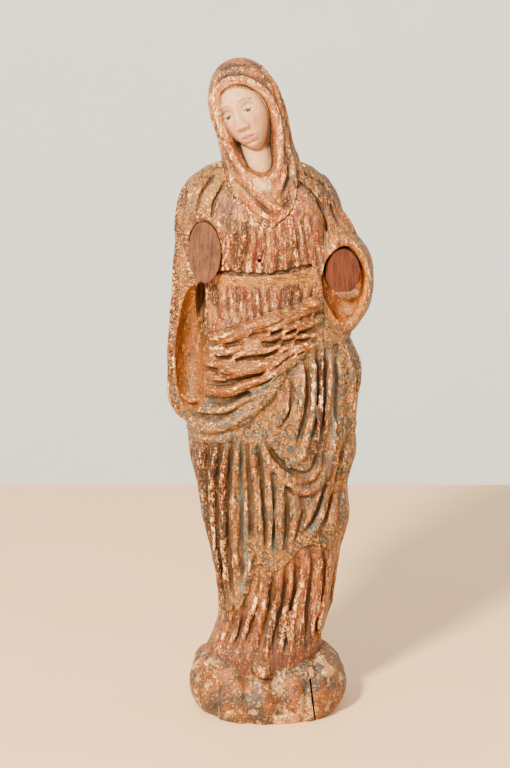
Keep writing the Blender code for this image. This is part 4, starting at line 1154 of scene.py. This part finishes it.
def line_gap(points, line):
    """How far above a hem each point is, straight up."""
    return points[:, 2] - height_of(line, points[:, 0])


def near_lines(points, lines, width):
    """1 on the lines over x and height, fading out over about their width."""
    gaps = [line_distance(points[:, 0], points[:, 2], curve(line, 6.0)) for line in lines]
    return ease(width - np.min(gaps, axis=0), 0, width * 0.6)


class Coats:
    """Two colours and the shares of brocade, gilding, loss, level streaks and skin at each point."""

    def __init__(self, points, first, second, brocade, gilt, loss, sweep=0.0):
        n = len(points)
        self.first, self.second = np.tile(first, (n, 1)), np.tile(second, (n, 1))
        self.shares = np.tile(np.array([brocade, gilt, loss, sweep], float), (n, 1))
        self.skin = np.zeros(n)

    def lay(self, mask, first=None, second=None, brocade=None, gilt=None, loss=None, sweep=None):
        if first is not None:
            self.first = blend(self.first, first, mask)
        if second is not None:
            self.second = blend(self.second, second, mask)
        for k, value in enumerate((brocade, gilt, loss, sweep)):
            if value is not None:
                self.shares[:, k] += (value - self.shares[:, k]) * mask


def patches(points, size, seed, low, high, squeeze=1.0):
    """1 in patches of about that size, taller where squeeze is below 1."""
    return ease(value_noise(points * (1, 1, squeeze), size, seed), low, high)


def between(points, left, right, low, high, soft):
    """1 inside a box over x and height, fading in over soft mm at its left, right, foot and top."""
    x, z = points[:, 0], points[:, 2]
    across = ease(x, left, left + soft[0]) * ease(right - x, 0, soft[1])
    return across * ease(z, low, low + soft[2]) * ease(high - z, 0, soft[3])


def front_of(points):
    """1 on the figure's front half, fading out at its sides."""
    return ease(-points[:, 1], -16, -6)


def paint_skirt(points, lay, wander):
    """Gilt brocade with painted shade down its grooves and blue lines in it, and the red tunic below its hem.
    """
    x, y, z = points.T
    front = front_of(points)
    hem = line_gap(points, HEMS["mantle"]) + wander * 0.5
    lay(ease(-y, -34, -8), GOLD, OCHRE, 1.0, 0.7, 0.55)
    lay(front * ease(-24 - x, -4, 4) * ease(264 - z, 0, 6), BLACK_BROWN, UMBER, 0.2, 0.3, 0.75)
    lay(front * between(points, 46, 66, 236, 350, (4, 4, 14, 12)), UMBER, BLACK_BROWN, 0.3, 0.3, 0.6)
    lay(front * between(points, 34, 60, 196, 238, (6, 6, 10, 10)), UMBER, OCHRE, 0.6, 0.4, 0.4)
    stripes = ease(np.sin((x * 0.75 + z * 0.9 + wander) * 1.25), -0.1, 0.45)
    lay(front * stripes * ease(hem, 1, 2) * ease(24 - hem, 0, 6) * ease(x, 20, 34), SLATE, SLATE, 0.0)
    # Painted shade down the carved grooves.
    lay(front * 0.85 * near_lines(points, SHADED_GROOVE_LINES, 3.0), BLACK_BROWN, UMBER, 0.0, 0.1)
    lay(front * 0.9 * near_lines(points, TEAL_LINES, 2.6), TEAL, SLATE, 0.0, 0.0, 0.5)
    tunic = front * ease(-hem, 0.2, 1.2)
    lay(tunic, colour("7d3f26"), GOLD, 0.15, 0.5, 0.6)
    lay(tunic * patches(points, 5.0, 91, 0.15, 0.45, UPRIGHT) * 0.8, colour("7c2a1c"), MAUVE)
    lay(tunic * patches(points, 8.0, 92, 0.2, 0.4, UPRIGHT), UMBER, MAUVE)
    lay(tunic * ease(70 - z, 0, 8), MAUVE, UMBER, 0.0, 0.2, 0.8)


def paint_waist(points, lay, wander):
    """The gathered apron, the red chest above it and the gilt belt."""
    x = points[:, 0]
    front = front_of(points)
    roll = line_gap(points, HEMS["roll"]) + wander * 0.5
    apron = line_gap(points, HEMS["apron_top"]) + wander * 0.5
    lining = ease(line_gap(points, HEMS["apron"]), -0.6, 0.6)
    gathered = front * ease(54 - x, -3, 3)
    lay(gathered * ease(roll, -0.5, 0.8) * ease(x, -60, -57), GOLD, SLATE, 0.9, 0.6, 0.7, 1.0)
    lay(gathered * lining, OCHRE, colour("6b4a34"), 0.0, 0.9, 0.75, 1.0)
    chest = front * ease(apron, 0.2, 1.2) * ease(x, -47, -44) * ease(61 - x, -1, 1)
    lay(chest, MAGENTA, GOLD, 0.0, 0.7, 0.85, 0.0)
    lay(chest * patches(points, 6.0, 51, 0.1, 0.35, UPRIGHT), CRIMSON, MAGENTA)
    lay(chest * patches(points, 7.0, 52, 0.2, 0.4, UPRIGHT), UMBER, MAUVE)
    belt = ease(line_gap(points, BELT["low"]), -0.4, 0.8) * ease(-line_gap(points, BELT["high"]), -0.4, 0.8)
    lay(front * belt * ease(x, -38, -34) * ease(56 - x, 0, 5), GOLD, colour("6b3f1c"), 0.0, 0.9, 0.9, 1.0)


def paint_mantle_sides(points, lay):
    """The mantle's two edges over the chest and its outer sides."""
    x, _, z = points.T
    front = front_of(points)
    edge = np.interp(z, [402, 446, 462, 476, 486, 500], [-44, -33, -31, -26, -18, -6])
    lapel = front * ease(edge - x, -0.8, 0.8) * ease(z, 400, 404)
    lay(lapel, GOLD, UMBER, 0.35, 0.5, 0.85)
    lay(lapel * patches(points, 11.0, 61, 0.0, 0.3), UMBER, OCHRE, gilt=0.3)
    lay(front * ease(-66 - x, 0, 3) * ease(z, 300, 320), BLACK_BROWN, OCHRE, 0.0, 0.5, 0.8)
    edge = np.interp(z, [396, 440, 462, 478, 488, 500], [59, 57, 53, 45, 35, 20])
    lay(front * ease(x - edge, -0.8, 0.8) * ease(z, 394, 400), OCHRE, PATINA, 0.3, 0.3, 0.7)
    lay(front * ease(x - edge, 4, 8) * ease(z, 452, 460), PATINA, OCHRE, 0.3, 0.3, 0.5)
    lay(ease(x, 60, 64) * ease(z, 350, 356) * (1 - ease(z, 452, 474)), VEIL, UMBER, 0.2, 0.5, 0.7)


def paint_openings(points, lay, wander):
    """The insides of the left sleeve and the right wing, with painted shade deep in the wing's hollow, and
    sound paint round the stumps.
    """
    x, y, z = points.T
    (cx, cz), (hx, hz) = LEFT_HOOD["centre"], LEFT_HOOD["half"]
    inside = oval_size(x, z, (cx, cz - 3), (hx, hz + 5))
    lay(ease(1.0 - inside, -0.02, 0.03) * ease(-y, -8, 0) * ease(x, 57, 59), GOLD, ORANGE, 0.0, 0.9, 0.15)
    patch = ease(1 - ((x - 82) / 11) ** 2 - ((z - 392 - wander) / 6.0) ** 2, 0, 0.2) * ease(-y, 0, 8)
    lay(patch, WHITE, WHITE, 0.0, 0.0, 0.2)
    lean = np.array(Matrix.Rotation(math.radians(3), 3, "Y"))
    hollow = ease(1.6 - egg_distance((x, y, z), *WING_HOLLOW, lean), 0, 1.2)
    lay(hollow * ease(-y, -10, -4), colour("946430"), OCHRE, 0.0, 0.6, 0.1, 0.0)
    # Painted shade in the deep inner part of the wing's hollow, next to the body.
    lay(hollow * ease(x + 55 + (z - 380) * 0.06, -2, 6) * ease(z, 330, 372), BLACK_BROWN, UMBER)
    for stub in (RIGHT_STUB, LEFT_STUB):
        around = oval_size(x, z, stub["centre"], stub["half"])
        lay(ease(1.16 - around, 0, 0.1) * ease(-y, 5, 12), loss=0.0)


def paint_rocks(points, coats):
    """Mottled stone, laid after all the paint's loss so far is varied in broad patches."""
    x, y, z = points.T
    lay = coats.lay
    rock = np.full(len(x), 99.0)
    for centre, radii in ROCKS:
        rock = np.minimum(rock, egg_distance((x, y, z), centre, radii))
    stone = np.maximum(ease(2.4 - rock, 0, 1) * ease(58 - z, 0, 3), ease(40 - z, 0, 2))
    coats.shares[:, 2] *= np.clip(0.8 + 1.0 * value_noise(points, 15.0, 81), 0.3, 1.25)
    crumble = 0.35 * value_noise(points, 2.2, 44) + 0.35 * value_noise(points, 4.5, 45)
    lay(stone, STONE, colour("85562a"), 0.0, 0.4, 0.7, 0.5)
    for size, seed, low, first, second, gilt, loss in (
        (13.0, 41, 0.05, "94602a", OCHRE, 0.8, None),
        (12.0, 42, 0.1, "45474a", STONE_DARK, None, 0.5),
        (11.0, 43, 0.15, "dcc08c", STONE, None, 1.3),
    ):
        mottle = ease(value_noise(points, size, seed) + crumble, low, 0.3)
        lay(stone * mottle, colour(first), second, gilt=gilt, loss=loss)
    shoe = ease(0.9 - egg_distance((x, y, z), *SHOE), 0, 0.5) * ease(z, 40, 42)
    lay(shoe, OCHRE, BLACK_BROWN, 0.0, 0.0, 0.9)


def paint_body(points):
    coats = Coats(points, BACK_BROWN, UMBER, 0.2, 0.3, 0.3)
    wander = value_noise(points, 7.0, 31)
    paint_skirt(points, coats.lay, wander)
    paint_waist(points, coats.lay, wander)
    paint_mantle_sides(points, coats.lay)
    paint_openings(points, coats.lay, wander)
    paint_rocks(points, coats)
    return coats


def face_colours(local):
    """Flesh with warmer cheeks, chin and nose, lips, brows and lowered eyes, at points in the face's axes."""
    across, up = local[:, 0], local[:, 2]
    out = ease(-local[:, 1], 4, 10)
    flesh = np.tile(FLESH, (len(local), 1))
    for amount, middle, level, wide, tall in FLUSHES:
        flesh = blend(flesh, CHEEK, amount * out * bump(across, up, 1.0, middle, level, wide, tall))
    lips = out * ease(1 - (across / 7.6) ** 2 - ((up + 23.2) / 3.3) ** 2, 0, 0.25)
    flesh = blend(flesh, LIP, 0.7 * lips)
    brow_line = 8.6 - 0.045 * (np.abs(across) - 9) ** 2
    side = np.abs(across)
    brows = out * ease(1.0 - np.abs(up - brow_line), 0, 0.6) * ease(side, 3.5, 5) * ease(16 - side, 0, 2)
    flesh = blend(flesh, BROW, 0.7 * brows)
    lid = np.interp(side, [4.6, 7.0, 10.2, 13.2, 15.4], [-1.2, -0.2, 0.1, -0.6, -1.8])
    floor = np.interp(side, [5.2, 8.0, 10.6, 13.4, 15.2], [-1.8, -2.9, -3.2, -2.6, -1.8])
    open_eye = out * ease(lid - up, 0, 0.35) * ease(up - floor, 0, 0.35)
    open_eye *= ease(side, 4.8, 5.4) * ease(15.2 - side, 0, 0.6)
    flesh = blend(flesh, EYE_WHITE, open_eye)
    flesh = blend(flesh, IRIS, open_eye * ease(2.5 - np.hypot(side - 9.7, up + 1.2), 0, 0.5))
    lash = out * ease(0.55 - np.abs(up - lid), 0, 0.35) * ease(side, 4.4, 5.4) * ease(15.8 - side, 0, 0.8)
    flesh = blend(flesh, LASH, 0.8 * lash)
    return flesh


def paint_head(points, head):
    x, y, z = points.T
    coats = Coats(points, VEIL, VEIL_DARK, 0.1, 0.45, 0.9)
    coats.lay(ease(value_noise(points, 9.0, 71), 0.05, 0.3), VEIL_DARK, UMBER, gilt=0.3)
    coats.lay(ease(value_noise(points, 7.0, 72), 0.2, 0.4), ORANGE, VEIL)
    coats.lay(ease(y, 0, 16), BACK_BROWN, UMBER, loss=0.35)
    outline = curve(OPENING + OPENING[:1], 3.0)
    inner_side = ease(24 - np.abs(x + 6), 0, 3) * ease(-6 - y, 0, 4)
    rim = ease(5.0 - line_distance(x, z, outline), 0, 2.5) * ease(-y, 20, 26)
    coats.lay(rim, VEIL, ORANGE, 0.0, 0.6, 0.7)
    local = face_local(points)
    face, neck = (head.like(values).sample(points) for values in (head.face, head.neck))
    skin = ease(1.0 - np.minimum(face, neck), 0, 0.7)
    proud = ease(3.5 - face, 0, 1) * ease(-local[:, 1], 12, 15) * ease(19 - np.abs(local[:, 0]), 0, 2)
    skin = np.maximum(skin, proud * ease(20 - local[:, 2], 0, 2)) * ease(z, 488, 491)
    linen = ease(4 - np.abs(local[:, 2] - 24 + 0.026 * local[:, 0] ** 2), 0, 1.5)
    linen *= ease(-local[:, 1], 6, 9) * inner_side
    skin *= 1 - linen
    inner = ease(-2.0 - y, 0, 3) * (1 - rim) * ease(24 - np.abs(x + 6), 0, 3)
    inner *= ease(z, 500, 505) * ease(586 - z, 0, 3)
    # Painted shade inside the hood's opening, round the face.
    hood_shade = inner * ease(3.5 - surface_y(HOOD, FRONT, x, z) + y, 0, 3) * (1 - skin)
    coats.lay(hood_shade, VEIL_DARK, UMBER, 0.0, 0.2, 0.4)
    flesh = face_colours(local)
    coats.lay(linen, CREAM, VEIL, 0.0, 0.1, 0.5)
    coats.lay(skin, None, None, 0.0, 0.0, 0.12)
    coats.first += (flesh - coats.first) * skin[:, None]
    coats.second += (flesh * 0.9 - coats.second) * skin[:, None]
    ragged = 3.5 * value_noise(points, 4.0, 73)
    collar = ease(498 - z + ragged, 0, 2) * ease(z, 487, 490) * ease(-y, 31, 34)
    collar *= ease(8 - np.abs(x - 6) + ragged, 0, 2)
    coats.lay(collar, WHITE, CREAM, 0.0, 0.0, 0.4)
    coats.skin = skin
    return coats


def paint(obj, relief, coats):
    ridge, hollow = relief.at(mesh_points(obj))
    brocade, gilt, loss, sweep = coats.shares.T
    store(obj, "first", coats.first)
    store(obj, "second", coats.second)
    store(obj, "share", np.stack([brocade, gilt, loss], axis=1))
    store(obj, "form", np.stack([ridge, hollow, sweep, coats.skin], axis=1))


def finish(obj, field, materials, name, slack=0.45):
    """Skin on the carved faces, bare wood on the joints' faces, smooth between its crisp edges."""
    mesh = obj.data
    mesh.materials.clear()
    for item in materials:
        mesh.materials.append(item)
    centres = np.empty(len(mesh.polygons) * 3, np.float32)
    mesh.polygons.foreach_get("center", centres)
    if field is not None:
        off = np.abs(field.sample(centres.reshape(-1, 3))) > slack
        mesh.polygons.foreach_set("material_index", off.astype(np.int32))
    mesh.polygons.foreach_set("use_smooth", np.ones(len(mesh.polygons), bool))
    mesh.set_sharp_from_angle(angle=math.radians(52))
    mesh.transform(Matrix.Scale(0.001, 4) @ Matrix.Translation(SHIFT))
    mesh.update()
    obj.name = mesh.name = name


# ---- Materials ----


class Shader:
    """A node material, built up a value at a time."""

    def __init__(self, name):
        self.material = bpy.data.materials.new(name)
        self.material.use_nodes = True
        self.tree = self.material.node_tree
        self.tree.nodes.clear()
        self.surface = self.tree.nodes.new("ShaderNodeBsdfPrincipled")
        output = self.tree.nodes.new("ShaderNodeOutputMaterial")
        self.tree.links.new(self.surface.outputs[0], output.inputs[0])
        self.place = self.tree.nodes.new("ShaderNodeTexCoord").outputs["Object"]

    def put(self, socket, value):
        if isinstance(value, bpy.types.NodeSocket):
            self.tree.links.new(value, socket)
        elif value is not None:
            if hasattr(socket.default_value, "__len__") and hasattr(value, "__len__"):
                value = list(value) + [1.0] * (len(socket.default_value) - len(value))
            socket.default_value = value

    def math(self, operation, a, b=0.0, clamp=False):
        node = self.tree.nodes.new("ShaderNodeMath")
        node.operation, node.use_clamp = operation, clamp
        self.put(node.inputs[0], a)
        self.put(node.inputs[1], b)
        return node.outputs[0]

    def times(self, a, b, clamp=False):
        return self.math("MULTIPLY", a, b, clamp)

    def rest(self, value):
        return self.math("SUBTRACT", 1.0, value)

    def total(self, *parts):
        """A weighted sum: (value, weight) pairs and plain numbers."""
        out = 0.0
        for part in parts:
            term = self.times(*part) if isinstance(part, tuple) else part
            out = self.math("ADD", out, term)
        return out

    def step(self, value, low, high):
        node = self.tree.nodes.new("ShaderNodeMapRange")
        node.interpolation_type = "SMOOTHSTEP"
        self.put(node.inputs["Value"], value)
        self.put(node.inputs["From Min"], low)
        self.put(node.inputs["From Max"], high)
        return node.outputs["Result"]

    def mix(self, amount, under, over, kind="MIX"):
        node = self.tree.nodes.new("ShaderNodeMix")
        node.data_type, node.blend_type = "RGBA", kind
        self.put(node.inputs["Factor"], amount)
        self.put(node.inputs["A"], under)
        self.put(node.inputs["B"], over)
        return node.outputs["Result"]

    def stretch(self, x, y, z):
        node = self.tree.nodes.new("ShaderNodeMapping")
        self.put(node.inputs["Vector"], self.place)
        node.inputs["Scale"].default_value = (x * 1000, y * 1000, z * 1000)
        return node.outputs[0]

    def noise(self, place, scale, detail=3.0, rough=0.55, warp=0.0):
        node = self.tree.nodes.new("ShaderNodeTexNoise")
        values = {"Vector": place, "Scale": scale, "Detail": detail, "Roughness": rough, "Distortion": warp}
        for key, value in values.items():
            self.put(node.inputs[key], value)
        return node.outputs["Fac"]

    def cells(self, place, scale, feature="F1", jitter=1.0):
        node = self.tree.nodes.new("ShaderNodeTexVoronoi")
        node.feature = feature
        self.put(node.inputs["Vector"], place)
        self.put(node.inputs["Scale"], scale)
        self.put(node.inputs["Randomness"], jitter)
        return node.outputs["Distance"]

    def attribute(self, name, output="Color"):
        node = self.tree.nodes.new("ShaderNodeAttribute")
        node.attribute_name = name
        return node.outputs[output]

    def parts(self, value):
        node = self.tree.nodes.new("ShaderNodeSeparateColor")
        self.put(node.inputs[0], value)
        return node.outputs

    def bump(self, height, strength, distance):
        node = self.tree.nodes.new("ShaderNodeBump")
        self.put(node.inputs["Height"], height)
        node.inputs["Strength"].default_value = strength
        node.inputs["Distance"].default_value = distance
        self.put(self.surface.inputs["Normal"], node.outputs[0])

    def close(self, base, rough, metal=0.0, gloss=0.5):
        self.put(self.surface.inputs["Base Color"], base)
        self.put(self.surface.inputs["Roughness"], rough)
        self.put(self.surface.inputs["Metallic"], metal)
        self.put(self.surface.inputs["Specular IOR Level"], gloss)
        return self.material


def polychrome(name):
    """Paint and gold leaf over red bole over white gesso over wood, each worn through on the ridges, where
    the showing gesso is also painted highlight; dirt and painted shade darken the hollows.
    """
    s = Shader(name)
    plain = s.stretch(1, 1, 1)
    brocade, gilt, loss = s.parts(s.attribute("share"))[:3]
    ridge, hollow, sweep = s.parts(s.attribute("form"))[:3]
    skin = s.attribute("form", "Alpha")
    first, second = s.attribute("first"), s.attribute("second")
    mid, fine = s.noise(plain, 0.17, 4, 0.6), s.noise(plain, 0.55, 4, 0.65)
    grain = s.noise(plain, 2.3, 3, 0.6)
    upright = s.noise(s.stretch(1, 1, 0.2), 0.42, 4, 0.62, 0.8)
    level = s.noise(s.stretch(0.28, 1, 1), 0.40, 4, 0.62, 0.8)
    streak = s.total((upright, s.rest(sweep)), (level, sweep))
    upright2 = s.noise(s.stretch(1.3, 1, 0.24), 0.47, 4, 0.6, 1.0)
    level2 = s.noise(s.stretch(0.3, 1.2, 1.3), 0.43, 4, 0.6, 1.0)
    other = s.total((upright2, s.rest(sweep)), (level2, sweep))

    base = s.mix(s.step(s.total((streak, 0.75), (fine, 0.25)), 0.47, 0.56), first, second)
    rub = s.rest(skin)
    glow = s.times(s.step(s.total((other, 0.7), (mid, 0.3)), 0.52, 0.60), s.times(rub, 0.7))
    base = s.mix(glow, base, s.mix(s.step(fine, 0.42, 0.58), colour("9c4a14"), colour("dba048")))
    grey = s.times(s.step(s.total((mid, 0.6), (other, 0.4)), 0.38, 0.46), rub)
    base = s.mix(s.times(s.math("SUBTRACT", rub, grey), 0.75), base, colour("554239"))
    dark = s.rest(s.step(s.total((streak, 0.6), (fine, 0.4)), 0.41, 0.46))
    base = s.mix(s.times(s.times(dark, rub), 0.7), base, colour("36261b"))
    worn = s.times(s.step(s.total((mid, 0.45), (fine, 0.55)), 0.535, 0.565), skin)
    ground = s.mix(s.step(grain, 0.45, 0.55), colour("a0562a"), colour("e8cda4"))
    base = s.mix(s.times(worn, 0.5), base, ground)
    dulled = s.mix(1.0, base, colour("b89a80"), "MULTIPLY")
    base = s.mix(s.times(s.step(fine, 0.42, 0.62), 0.25), base, dulled)
    varnished = s.mix(1.0, base, colour("d89a58"), "MULTIPLY")
    base = s.mix(s.times(rub, 0.5), base, varnished)

    # The brocade: rings with a dot in each, and a vine between them.
    motif = s.stretch(1.0, 0.8, 0.9)
    ring = s.cells(motif, 0.092, jitter=0.8)
    band = s.times(s.step(ring, 0.22, 0.30), s.rest(s.step(ring, 0.42, 0.50)))
    heart = s.rest(s.step(ring, 0.08, 0.14))
    vine = s.cells(motif, 0.16, "DISTANCE_TO_EDGE", 1.0)
    vine = s.rest(s.step(vine, 0.06, 0.14))
    figure = s.math("MAXIMUM", s.math("MAXIMUM", band, heart), s.times(vine, 0.8))
    figure = s.times(figure, s.step(s.total((fine, 0.6), (mid, 0.4)), 0.36, 0.46))
    figure = s.times(figure, brocade)
    slate = s.mix(s.step(mid, 0.42, 0.58), colour("34474b"), colour("1f2322"))
    base = s.mix(s.times(figure, 0.95), base, slate)

    # Wear, shallow to deep: red bole, white gesso, bare wood. It reaches furthest on the ridges, and the
    # cream gesso there is painted highlight as well as wear.
    spread = s.total((streak, 1.5), (other, 0.9), (fine, 1.3), (mid, 0.7), -2.2)
    ridge = s.times(ridge, rub)
    # The ridge term: real wear, and painted highlight where the cream gesso shows on the fold tops.
    wear_and_ridge_highlight = s.total((ridge, 0.29), (s.times(spread, s.total(0.55, (loss, 0.75))), 1.0), (loss, 0.22), -0.33)
    bole = s.times(s.step(wear_and_ridge_highlight, 0.06, 0.16), rub)
    gesso = s.step(wear_and_ridge_highlight, 0.23, 0.31)
    fleck = s.times(s.step(s.total((grain, 0.45), (fine, 0.55)), 0.58, 0.61), s.step(loss, 0.1, 0.8))
    gesso = s.math("MAXIMUM", gesso, s.times(fleck, 0.8))
    lustre = s.times(s.step(s.total((other, 0.55), (fine, 0.45)), 0.55, 0.59), s.times(gilt, rub))
    wood = s.step(wear_and_ridge_highlight, 0.66, 0.76)
    clay = s.mix(s.step(other, 0.42, 0.58), colour("7d2f12"), colour("c06c26"))
    base = s.mix(s.times(bole, 0.85), base, clay)
    base = s.mix(lustre, base, colour("eebf6c"))
    chalk = s.step(s.total((grain, 0.5), (mid, 0.5)), 0.35, 0.62)
    base = s.mix(gesso, base, s.mix(chalk, colour("c88e46"), colour("fbe0a6")))
    base = s.mix(wood, base, colour("7a5236"))
    # Dark brown in the carved hollows and in noise patches: dirt, and painted shade in the hollows.
    dirt_and_hollow_shade = s.total((hollow, 0.85), (other, 1.6), (fine, 0.6), -1.12)
    grime_and_hollow_shade = s.times(dirt_and_hollow_shade, s.total(1.0, (skin, -0.55)), True)
    base = s.mix(s.times(grime_and_hollow_shade, 0.9), base, colour("26190f"))
    speck = s.step(s.total((grain, 0.6), (fine, 0.4)), 0.34, 0.38)
    base = s.mix(s.times(s.rest(speck), 0.7), base, colour("3a2719"))
    cover = s.rest(s.math("MAXIMUM", gesso, grime_and_hollow_shade))
    shine = s.times(s.times(gilt, cover), 0.35)
    rough = s.total(0.52, (gilt, -0.16), (gesso, 0.18), (fine, 0.16))
    layers = ((gesso, 0.35), (bole, -0.35), (fine, 0.8), (grain, 0.35), (wood, -0.4), (figure, 0.15))
    s.bump(s.total(*layers), 0.8, 0.0007)
    return s.close(base, rough, shine, 0.4)


def raw_wood(name, light, dark, along=(1, 1, 0.08), rough=0.75, depth=0.0005):
    """Bare wood with its grain along z unless told otherwise."""
    s = Shader(name)
    fibre = s.noise(s.stretch(*along), 0.9, 5, 0.65, 0.4)
    rings = s.noise(s.stretch(*(v * 0.45 for v in along)), 0.55, 3, 0.5, 1.2)
    stain = s.noise(s.stretch(1, 1, 1), 0.09, 4, 0.6)
    pores = s.step(s.noise(s.stretch(*(v * 2.2 for v in along)), 1.6, 2), 0.60, 0.70)
    base = s.mix(s.step(s.total((fibre, 0.6), (rings, 0.4)), 0.36, 0.64), dark, light)
    base = s.mix(s.times(s.step(stain, 0.45, 0.75), 0.55), base, colour("2d2018"))
    base = s.mix(s.times(pores, 0.5), base, colour("1d140e"))
    s.bump(s.total((fibre, 1.0), (pores, -0.8)), 0.8, depth)
    return s.close(base, s.total(rough, (fibre, 0.15)), 0.0, 0.3)


def iron(name):
    s = Shader(name)
    plain = s.stretch(1, 1, 1)
    rust = s.step(s.noise(plain, 0.5, 5, 0.65), 0.42, 0.62)
    pits = s.noise(plain, 2.5, 3)
    base = s.mix(rust, colour("3a3531"), s.mix(s.step(pits, 0.4, 0.6), colour("4f2a18"), colour("7a4526")))
    s.bump(s.total((rust, 0.8), (pits, 0.6)), 0.8, 0.0004)
    return s.close(base, s.total(0.5, (rust, 0.35)), s.math("SUBTRACT", 0.8, s.times(rust, 0.7)))


# ---- Putting it together ----


def make_figure():
    head = make_head()
    body = make_body(head)
    carving = mesh_of("carving", body)
    pins = pin_cutters()
    pieces = split_body(carving, pins)
    head_piece = mesh_of("carved_head", head)
    boolean(head_piece, pins, "DIFFERENCE")
    skin = polychrome("polychrome_layers")
    wood = raw_wood("joint_wood", colour("8a6646"), colour("5f432c"))
    relief = Relief(body, 1, 4)
    for node, piece in pieces.items():
        drop_crumbs(piece)
        paint(piece, relief, paint_body(mesh_points(piece)))
        finish(piece, body, [skin, wood], "visual_" + node)
    relief = Relief(head, 2, 7)
    drop_crumbs(head_piece)
    paint(head_piece, relief, paint_head(mesh_points(head_piece), head))
    finish(head_piece, head, [skin, wood], "visual_head_block", 1.5)
    pieces["head_block"] = head_piece
    brown = raw_wood("old_stump_wood", colour("6d4532"), colour("4a2d20"), (0.7, 0.2, 0.08))
    red = raw_wood("red_stump_wood", colour("652f18"), colour("35150a"), (1.4, 0.2, 0.09))
    for node, stub, bare in (("arm_stub_right", RIGHT_STUB, brown), ("arm_stub_left", LEFT_STUB, red)):
        piece = make_stub(stub)
        boolean(piece, pins, "DIFFERENCE")
        drop_crumbs(piece)
        finish(piece, None, [bare], "visual_" + node)
        pieces[node] = piece
    drop(carving, pins)
    for node, piece in pieces.items():
        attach(piece, "root")
        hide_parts(node)
    return pieces


def dress_pins():
    """Wood and iron on the dowels and nails, which keep their CAD shapes."""
    peg = raw_wood("peg_wood", colour("a9845a"), colour("7c5b3a"), (0.3, 1, 1))
    metal = iron("forged_nail")
    for name, node in NODES.items():
        if "dowel" in name or "nail" in name:
            node.data.materials.clear()
            node.data.materials.append(metal if "nail" in name else peg)
            node.data.polygons.foreach_set("material_index", np.zeros(len(node.data.polygons), np.int32))


# The stage: the floor's back edge in mm, then half its width, the wall's place and its ends in m.
FLOOR_END = 713.0
STAGE_HALF = 4.0
WALL_AT = 3.2
WALL_ENDS = (-5.0, 4.0)


def place(x, y, z):
    """A point given in mm about the figure's axis, in the row frame in m."""
    return Vector((x + SHIFT[0], y + SHIFT[1], z)) * 0.001


def stage_sheet(name, corners, material):
    mesh = bpy.data.meshes.new(name)
    mesh.from_pydata(corners, [], [tuple(range(len(corners)))])
    mesh.materials.append(material)
    obj = add_object(name, mesh)


def point_at(obj, where, aim):
    obj.location = where
    obj.rotation_euler = (Vector(aim) - Vector(where)).to_track_quat("-Z", "Y").to_euler()


def area_light(name, where, aim, size, power, tint):
    data = bpy.data.lights.new(name, "AREA")
    data.shape, data.size, data.energy, data.color = "DISK", size, power, tint
    obj = add_object(name, data)
    point_at(obj, where, aim)


def cloud_of(shader):
    return shader.noise(shader.stretch(0.01, 0.01, 0.01), 0.6, 2)


def studio():
    """Pale floor and wall, one warm key light from the upper left, a weak fill light and the camera."""
    floor = Shader("pale_floor")
    tone = floor.mix(cloud_of(floor), colour("e8c095"), colour("efcba4"))
    floor.close(tone, 0.55, 0.0, 0.3)
    far = place(0, FLOOR_END, 0)[1]
    corners = [(side, -WALL_AT, 0) for side in (-STAGE_HALF, STAGE_HALF)]
    corners += [(side, far, 0) for side in (STAGE_HALF, -STAGE_HALF)]
    stage_sheet("floor", corners, floor.material)
    wall = Shader("pale_wall")
    wall.close(wall.mix(cloud_of(wall), colour("f6f2ea"), colour("fbf8f2")), 0.7, 0.0, 0.2)
    low, high = WALL_ENDS
    corners = [(side, WALL_AT, low) for side in (-STAGE_HALF, STAGE_HALF)]
    corners += [(side, WALL_AT, high) for side in (STAGE_HALF, -STAGE_HALF)]
    stage_sheet("wall", corners, wall.material)
    world = bpy.data.worlds.new("studio")
    world.use_nodes = True
    world.node_tree.nodes["Background"].inputs[0].default_value = (*colour("f6f0e6"), 1)
    world.node_tree.nodes["Background"].inputs[1].default_value = 1.4
    bpy.context.scene.world = world
    aim = place(0, 0, 320)
    area_light("key", (-1.0, -1.9, 1.75), aim, 0.35, 240, (1.0, 0.86, 0.63))
    area_light("fill", (1.6, -1.6, 0.9), aim, 1.6, 6, (1.0, 0.96, 0.92))
    camera = bpy.data.cameras.new("camera")
    camera.lens, camera.sensor_width, camera.sensor_fit = 107, 36, "AUTO"
    camera.clip_start, camera.clip_end = 0.05, 30
    obj = add_object("camera", camera)
    point_at(obj, place(0, -2000, 800), place(0, 0, 305))
    bpy.context.scene.camera = obj


make_figure()
dress_pins()
studio()
